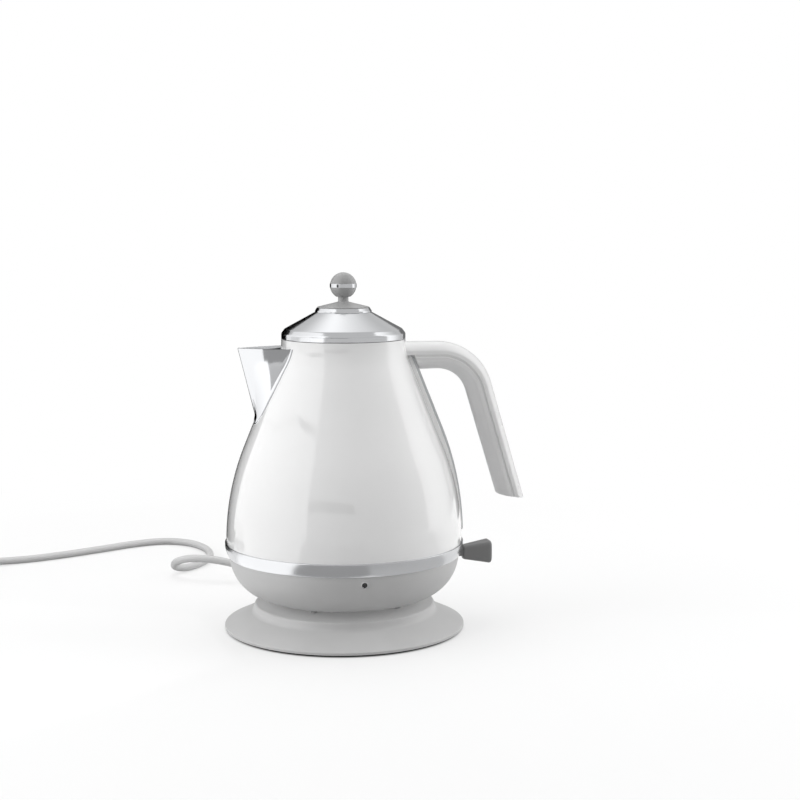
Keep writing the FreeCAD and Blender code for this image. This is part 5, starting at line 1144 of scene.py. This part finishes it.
class KETTLE_OT_cord(bpy.types.Operator):
    """Supply cord with its glands, tied coil and two-pin plug"""
    bl_idname = "kettle.cord"
    bl_label = "Supply cord"

    def execute(self, context):
        size = settings("cord")
        exit_way = np.array([math.cos(size.exit_angle), math.sin(size.exit_angle), 0])
        gland = exit_way * size.gland_end + (0, 0, size.height)
        coil, left, end = self.coil_points()
        points = np.concatenate([[gland], np.array(CORD_ROUTE) * MM, coil])
        curve = bpy.data.curves.new("supply_cord", "CURVE")
        curve.dimensions = "3D"
        line = curve.splines.new("NURBS")
        line.points.add(len(points) - 1)
        line.points.foreach_set("co", np.column_stack([points, np.ones(len(points))]).ravel())
        line.order_u = 3
        line.use_endpoint_u = True
        line.resolution_u = 12
        curve.bevel_depth = size.radius
        curve.bevel_resolution = 6
        curve.use_fill_caps = True
        cord = bpy.data.objects.new("supply_cord", curve)
        context.scene.collection.objects.link(cord)
        curve.materials.append(bpy.data.materials["cord_grey"])
        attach(cord, "base")
        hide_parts("power_cord", "power_cord_coil")
        self.gland(exit_way)
        plug = self.plug(end, left)
        return {"FINISHED"}

    def coil_points(self):
        """Points round the coil: level for half a turn, climbing one layer over the next half turn,
        level again on top, then straight off to the plug."""
        size = settings("cord")
        way = np.array([math.cos(size.coil_heading), math.sin(size.coil_heading), 0])
        left = np.array([-way[1], way[0], 0])
        start = np.array(COIL_START) * MM
        entry = start + way * 2 * size.radius
        centre = entry + left * size.coil_radius
        step = 2 * math.pi / COIL_POINTS_PER_TURN
        turns = np.arange(1, int(COIL_TURNS * COIL_POINTS_PER_TURN) + 1) * step - step / 2
        climb = np.clip((turns / (2 * math.pi) - 0.5) / 0.5, 0, 1)
        reach = size.coil_radius / math.cos(step / 2)
        ring = (centre + reach * (np.sin(turns)[:, None] * way - np.cos(turns)[:, None] * left)
                + np.outer(climb, (0, 0, size.coil_layer)))
        off = centre + way * size.coil_radius + (0, 0, size.coil_layer)
        end = off + left * size.coil_tail
        return np.concatenate([[start], ring, [end]]), left, end

    def boot(self, name, node, root, way, span, ends, ribbed, ribs, rib_depth, steps):
        """A boot turned about the cord: its radius goes evenly from one end's to the other's, less a
        raised cosine for each rib along the ribbed stretch."""
        along = np.linspace(0, 1, steps)
        radius = ends[0] + (ends[1] - ends[0]) * along
        begin, finish = ribbed
        wave = 0.5 - 0.5 * np.cos(2 * math.pi * (along - begin) * ribs / (finish - begin))
        radius -= np.where((along > begin) & (along < finish), rib_depth * wave, 0)
        bore = settings("cord").radius * 0.98  # a little tight on the cord
        profile = np.concatenate([[[bore, 0]], np.column_stack([radius, along * span]), [[bore, span]]])
        grid = aimed(turned(profile, columns=64), root, way)
        return replacing(surface(name, grid, along=True), node)

    def gland(self, exit_way):
        """The boot where the cord leaves the base."""
        size = settings("cord")
        root = exit_way * size.gland_start + (0, 0, size.height)
        self.boot("cord_boot", "cord_strain_relief", root, exit_way, size.gland_end - size.gland_start,
                  (size.gland_radius, size.gland_tip), ribbed=(0.3, 0.94), ribs=8, rib_depth=0.32 * MM,
                  steps=121)

    def plug(self, start, ahead):
        """A ribbed boot, then the plug's body: superelliptic sections with rounded ends, drawn in to a
        waist by a bell curve and grooved for the fingers by a raised cosine."""
        size = settings("cord")
        boot_length, body_length, half_width, half_height = in_mm(22, 38, 17.5, 11.5)
        boot_ends = (size.radius + 0.6 * MM, size.gland_radius + 1.6 * MM)
        boot = self.boot("plug_boot", "plug_strain_relief", start, ahead, boot_length, boot_ends,
                         ribbed=(0.1, 0.9), ribs=6, rib_depth=0.5 * MM, steps=97)

        back, front, groove, pitch = in_mm(4, 2, 0.5, 2.7)
        turn = np.linspace(0, 1, 9) * math.pi / 2
        plain = np.linspace(back, body_length - front, 40)[1:-1]
        along = np.concatenate([[0], back * (1 - np.cos(turn)), plain,
                                body_length - front + front * np.sin(turn), [body_length]])
        inset = np.concatenate([[1], back * (1 - np.sin(turn)) / half_height, 0 * plain,
                                front * (1 - np.cos(turn)) / half_height, [1]])
        waist_depth, waist_at, waist_reach = 0.16, 0.4 * body_length, 0.3 * body_length
        ribs_from, ribs_to = 0.2 * body_length, 0.62 * body_length
        waist = 1 - waist_depth * np.exp(-((along - waist_at) / waist_reach) ** 2)
        in_ribs = (along > ribs_from) & (along < ribs_to)
        grooves = np.where(in_ribs, groove * (0.5 - 0.5 * np.cos(2 * math.pi * along / pitch)), 0)
        width = np.maximum((half_width * waist - grooves) - inset * half_height, 0) * (inset < 1)
        tall = half_height * (1 - inset) * (inset < 1)
        across, up = squircle(4)
        aside = np.array([-ahead[1], ahead[0], 0])
        foot = start + ahead * boot_length
        points = (foot + along[:, None, None] * ahead + (width[:, None] * across)[..., None] * aside
                  + (tall[:, None] * up)[..., None] * np.array([0, 0, 1.0]))
        return [boot, replacing(surface("plug_moulding", points), "plug_body")]


class KETTLE_OT_finishes(bpy.types.Operator):
    """Makes the finishes and gives each remaining CAD node the finish of its slot"""
    bl_idname = "kettle.finishes"
    bl_label = "Finishes"

    def execute(self, context):
        make_finishes()
        for name, node in frame["nodes"].items():
            node.data.materials.clear()
            node.data.materials.append(bpy.data.materials[SLOTS[name]])
        return {"FINISHED"}


# Levels of the world in reflections and as light, and of the glow that lifts the floor to white.
MIRRORED_WORLD = 0.7
WORLD_LIGHT = 0.465
FLOOR_GLOW = 0.44


def upright_card(first, last, low_z, high_z):
    """Corners of a card that stands between two places, each a bearing and a distance."""
    return [(*first, low_z), (*last, low_z), (*last, high_z), (*first, high_z)]


def laid_card(first, last, near, far):
    """Corners of a card that lies on the floor between two bearings and two distances."""
    above = 0.5 * MM
    return [(first, near, above), (first, far, above), (last, far, above), (last, near, above)]


def tilted_card(near_first, near_last, far_last, far_first, first_drop=0.0, last_drop=0.0):
    """Corners of a card beside the spout that rises outwards: the bearings of its near and far edges,
    and how far its first and last sides are lowered."""
    (near, near_z), (far, far_z) = (0.168, 0.2306), (0.2323, 0.2614)
    return [(near_first, near, near_z - first_drop), (near_last, near, near_z - last_drop),
            (far_last, far, far_z - last_drop), (far_first, far, far_z - first_drop)]


# Bright and dark cards round the kettle, for its mirroring surfaces: the corners and the heart of the
# glow, each a bearing in degrees to the left of the front, a distance and a height in metres; whether
# the heart is a line of any height; the reach of the glow; and the levels at the heart and the reach.
CARDS = (
    ("left_card", upright_card((46, 1.2), (139, 1.2), 0.0, 1.8), (46, 1.2, 0), True, 1.74, 1.6, 1.15),
    ("right_card", upright_card((-76, 1.2), (-126, 1.2), 0.0, 1.8), (-82, 1.2, 0), True, 0.8,
     1.5, MIRRORED_WORLD),
    ("top_card", upright_card((140, 1.3), (220, 1.3), 0.5, 2.8), (178, 1.0, 1.95), False, 1.15,
     1.5, MIRRORED_WORLD),
    ("left_flag", upright_card((137.8, 0.6), (190.5, 0.6), 0.0, 0.48), (140, 0.6, 0), True, 1.0, 0.0, 0.0),
    ("right_flag", upright_card((-130, 0.6), (-176, 0.6), 0.0, 0.42), (-130, 0.6, 0), True, 1.0, 0.2, 0.2),
    ("camera_flag", upright_card((1, 1.3), (50, 1.3), 0.31, 0.42), (1, 1.3, 0), True, 1.0, 0.02, 0.02),
    ("floor_flag", laid_card(133, 190, 0.3, 0.62), (140, 0.3, 0), True, 1.0, 0.0, 0.0),
    ("floor_left", laid_card(50, 118, 0.12, 1.5), (50, 0.45, 0), True, 1.0, 1.45, 1.45),
    ("floor_front", laid_card(-8, 50, 0.12, 1.5), (0, 0.45, 0), True, 1.0, 0.42, 0.42),
    ("floor_right", laid_card(-84, -8, 0.12, 1.5), (-8, 0.45, 0), True, 0.6, 0.52, 0.7),
    ("spout_flag", tilted_card(68.5, 59.0, 57.3, 64.2), (58, 0.2, 0), True, 1.0, 0.0, 0.0),
    ("spout_fade", tilted_card(59.0, 37.5, 41.8, 57.3), (58, 0.195, 0), True, 0.062, 0.1, 0.95),
    ("nose_grey", tilted_card(68.5, 100.0, 94.5, 64.2, 0.0, 0.0355), (97, 0.2, 0), True, 0.107, 0.92, 1.12),
    ("tail_grey", tilted_card(100.0, 116.0, 111.0, 94.5, 0.0355, 0.0405), (97, 0.2, 0), True, 1.0, 1.0, 1.0),
)


class KETTLE_OT_stage(bpy.types.Operator):
    """Pale floor, soft studio light and the camera"""
    bl_idname = "kettle.stage"
    bl_label = "Stage"

    def execute(self, context):
        self.camera(context)
        self.floor(context)
        self.world(context)
        self.lamps(context)
        self.cards(context)
        context.scene.view_settings.view_transform = "Standard"
        return {"FINISHED"}

    def camera(self, context):
        """A long lens, a little to the left of the front, at the lid's height and tipped down."""
        tip, turn = math.radians(6.71), math.radians(12.96)
        data = bpy.data.cameras.new("camera")
        data.lens, data.sensor_width = 69.93, 36.0
        camera = bpy.data.objects.new("camera", data)
        camera.location = in_mm(-217.0, -1130.0, 306.9)
        camera.rotation_euler = (math.pi / 2 - tip, 0, -turn)
        context.scene.collection.objects.link(camera)
        context.scene.camera = camera

    def floor(self, context):
        """A wide matt floor, lifted to white for the eye, that fades to plain white far off.

        Under the base its colour is painted nearly black up to the rim, and its glow is taken away there
        too: a painted shadow that gives the thin dark line below it.
        """
        half = 6.0
        under_base, open_from, painted_shadow_level = 86 * MM, 90.5 * MM, 0.03
        fade_from, fade_to = 0.25, 0.7
        floor = self.sheet(context, "floor", [(-half, -half, 0), (half, -half, 0),
                                              (half, half, 0), (-half, half, 0)])
        tree, shader, place = new_finish("matt_floor")
        shader.inputs["Roughness"].default_value = 0.9
        shader.inputs["Specular IOR Level"].default_value = 0.1
        shader.inputs["Emission Color"].default_value = (1, 1, 1, 1)
        path = add(tree, "ShaderNodeLightPath").outputs
        eye = path["Is Camera Ray"]
        shown = add(tree, "ShaderNodeMath", {0: eye, 1: path["Is Glossy Ray"]}, operation="MAXIMUM")
        away = add(tree, "ShaderNodeVectorMath", {0: place}, operation="LENGTH").outputs["Value"]
        # Painted shadow: the floor's colour and glow drop to a low level under the base and ramp up to full
        # just outside the rim.
        painted_shadow_ramp = add(tree, "ShaderNodeMapRange",
                         {"Value": away, "From Min": under_base, "From Max": open_from,
                          "To Min": painted_shadow_level}, interpolation_type="SMOOTHSTEP").outputs["Result"]
        lifted = add(tree, "ShaderNodeMath", {0: painted_shadow_ramp, 1: FLOOR_GLOW}, operation="MULTIPLY")
        glow = add(tree, "ShaderNodeMath", {0: shown.outputs["Value"], 1: lifted.outputs["Value"]},
                   operation="MULTIPLY")
        tree.links.new(glow.outputs["Value"], shader.inputs["Emission Strength"])
        shade = add(tree, "ShaderNodeVectorMath",
                    {0: settings("colours").floor, "Scale": painted_shadow_ramp}, operation="SCALE")
        tree.links.new(shade.outputs["Vector"], shader.inputs["Base Color"])
        fade = add(tree, "ShaderNodeMapRange",
                   {"Value": away, "From Min": fade_from, "From Max": fade_to, "To Max": eye},
                   interpolation_type="SMOOTHSTEP")
        white = add(tree, "ShaderNodeEmission", {"Color": (1, 1, 1, 1), "Strength": 1.0})
        mix = add(tree, "ShaderNodeMixShader", {0: fade.outputs["Result"], 1: shader.outputs["BSDF"],
                                                2: white.outputs["Emission"]})
        tree.links.new(mix.outputs["Shader"], tree.nodes["Material Output"].inputs["Surface"])
        floor.data.materials.append(bpy.data.materials["matt_floor"])

    def sheet(self, context, name, corners):
        """One flat quad of the stage."""
        mesh = bpy.data.meshes.new(name)
        places = [tuple(float(value) for value in corner) for corner in corners]
        mesh.from_pydata(places, [], [(0, 1, 2, 3)])
        made = bpy.data.objects.new(name, mesh)
        context.scene.collection.objects.link(made)
        return made

    def world(self, context):
        """White to the eye, nearly white in reflections, and a weak even light for the rest."""
        world = bpy.data.worlds.new("studio")
        world.use_nodes = True
        context.scene.world = world
        tree = world.node_tree
        tree.nodes.clear()
        path = add(tree, "ShaderNodeLightPath").outputs
        seen = add(tree, "ShaderNodeMath", {0: path["Is Camera Ray"], 1: path["Is Transmission Ray"]},
                   operation="MAXIMUM")
        mirrored = add(tree, "ShaderNodeMapRange",
                       {"Value": path["Is Glossy Ray"], "To Min": WORLD_LIGHT, "To Max": MIRRORED_WORLD})
        level = add(tree, "ShaderNodeMapRange",
                    {"Value": seen.outputs["Value"], "To Min": mirrored.outputs["Result"], "To Max": 1.0})
        back = add(tree, "ShaderNodeBackground",
                   {"Color": (1, 1, 1, 1), "Strength": level.outputs["Result"]})
        add(tree, "ShaderNodeOutputWorld", {"Surface": back.outputs["Background"]})

    def lamps(self, context):
        """Two low side boxes, and an overhead fill that throws no shadow."""
        middle = Vector((0, 0, 0.12))
        for name, place, size, power, shadow in (
                ("left_box", (-1.35, -0.15, 0.5), (1.3, 1.1), 11.0, True),
                ("right_box", (1.35, -0.15, 0.5), (1.3, 1.1), 11.0, True),
                ("top_fill", (0.0, 0.6, 2.1), (2.0, 2.0), 27.5, False)):
            data = bpy.data.lights.new(name, "AREA")
            data.shape, data.size, data.size_y, data.energy = "RECTANGLE", *size, power
            data.use_shadow = shadow
            lamp = bpy.data.objects.new(name, data)
            lamp.location = place
            aim = middle - Vector(place)
            lamp.rotation_euler = aim.to_track_quat("-Z", "Y").to_euler()
            lamp.visible_glossy = False
            context.scene.collection.objects.link(lamp)

    def cards(self, context):
        """The cards, which show only in reflections and fade from their heart to their reach."""
        for name, places, heart, upright, reach, level, rest in CARDS:
            corners = [self.stood(*place) for place in places]
            card = self.sheet(context, name, corners)
            card.visible_camera = card.visible_diffuse = card.visible_shadow = False
            card.visible_transmission = False
            tree, shader, place = new_finish(name)
            mask = (1, 1, 0 if upright else 1)
            spot = add(tree, "ShaderNodeVectorMath", {0: place, 1: mask}, operation="MULTIPLY")
            away = add(tree, "ShaderNodeVectorMath",
                       {0: spot.outputs["Vector"], 1: self.stood(*heart) * mask}, operation="DISTANCE")
            glow = add(tree, "ShaderNodeMapRange",
                       {"Value": away.outputs["Value"], "From Max": reach, "To Min": level, "To Max": rest},
                       interpolation_type="SMOOTHSTEP")
            shader.inputs["Base Color"].default_value = (0, 0, 0, 1)
            shader.inputs["Specular IOR Level"].default_value = 0.0
            shader.inputs["Emission Color"].default_value = (1, 1, 1, 1)
            tree.links.new(glow.outputs["Result"], shader.inputs["Emission Strength"])
            card.data.materials.append(bpy.data.materials[name])

    def stood(self, bearing, distance, height):
        """The point at a bearing to the left of the front."""
        turn = math.radians(bearing)
        return np.array([-distance * math.sin(turn), -distance * math.cos(turn), height])


STEPS = (
    KETTLE_OT_finishes,
    KETTLE_OT_stage,
    KETTLE_OT_cord,
    KETTLE_OT_power_base,
    KETTLE_OT_bottom,
    KETTLE_OT_body,
    KETTLE_OT_spout,
    KETTLE_OT_gauge,
    KETTLE_OT_handle,
    KETTLE_OT_switch,
    KETTLE_OT_lid,
)


class KETTLE_PT_sidebar(bpy.types.Panel):
    """Lists the kettle's pieces and their settings"""
    bl_idname = "KETTLE_PT_sidebar"
    bl_label = "Kettle"
    bl_space_type = "VIEW_3D"
    bl_region_type = "UI"
    bl_category = "Kettle"

    def draw(self, context):
        for step in STEPS:
            self.layout.operator(step.bl_idname)
        for group, kind in GROUPS.items():
            box = self.layout.box()
            for name in kind.__annotations__:
                box.prop(settings(group), name)


def register():
    for kind in (*GROUPS.values(), *STEPS, KETTLE_PT_sidebar):
        bpy.utils.register_class(kind)
    for group, kind in GROUPS.items():
        setattr(bpy.types.Scene, "kettle_" + group, PointerProperty(type=kind))


def unregister():
    for group in GROUPS:
        delattr(bpy.types.Scene, "kettle_" + group)
    for kind in reversed((*GROUPS.values(), *STEPS, KETTLE_PT_sidebar)):
        bpy.utils.unregister_class(kind)


def main():
    register()
    for step in STEPS:
        group, name = step.bl_idname.split(".")
        getattr(getattr(bpy.ops, group), name)()


if __name__ == "__main__":
    main()
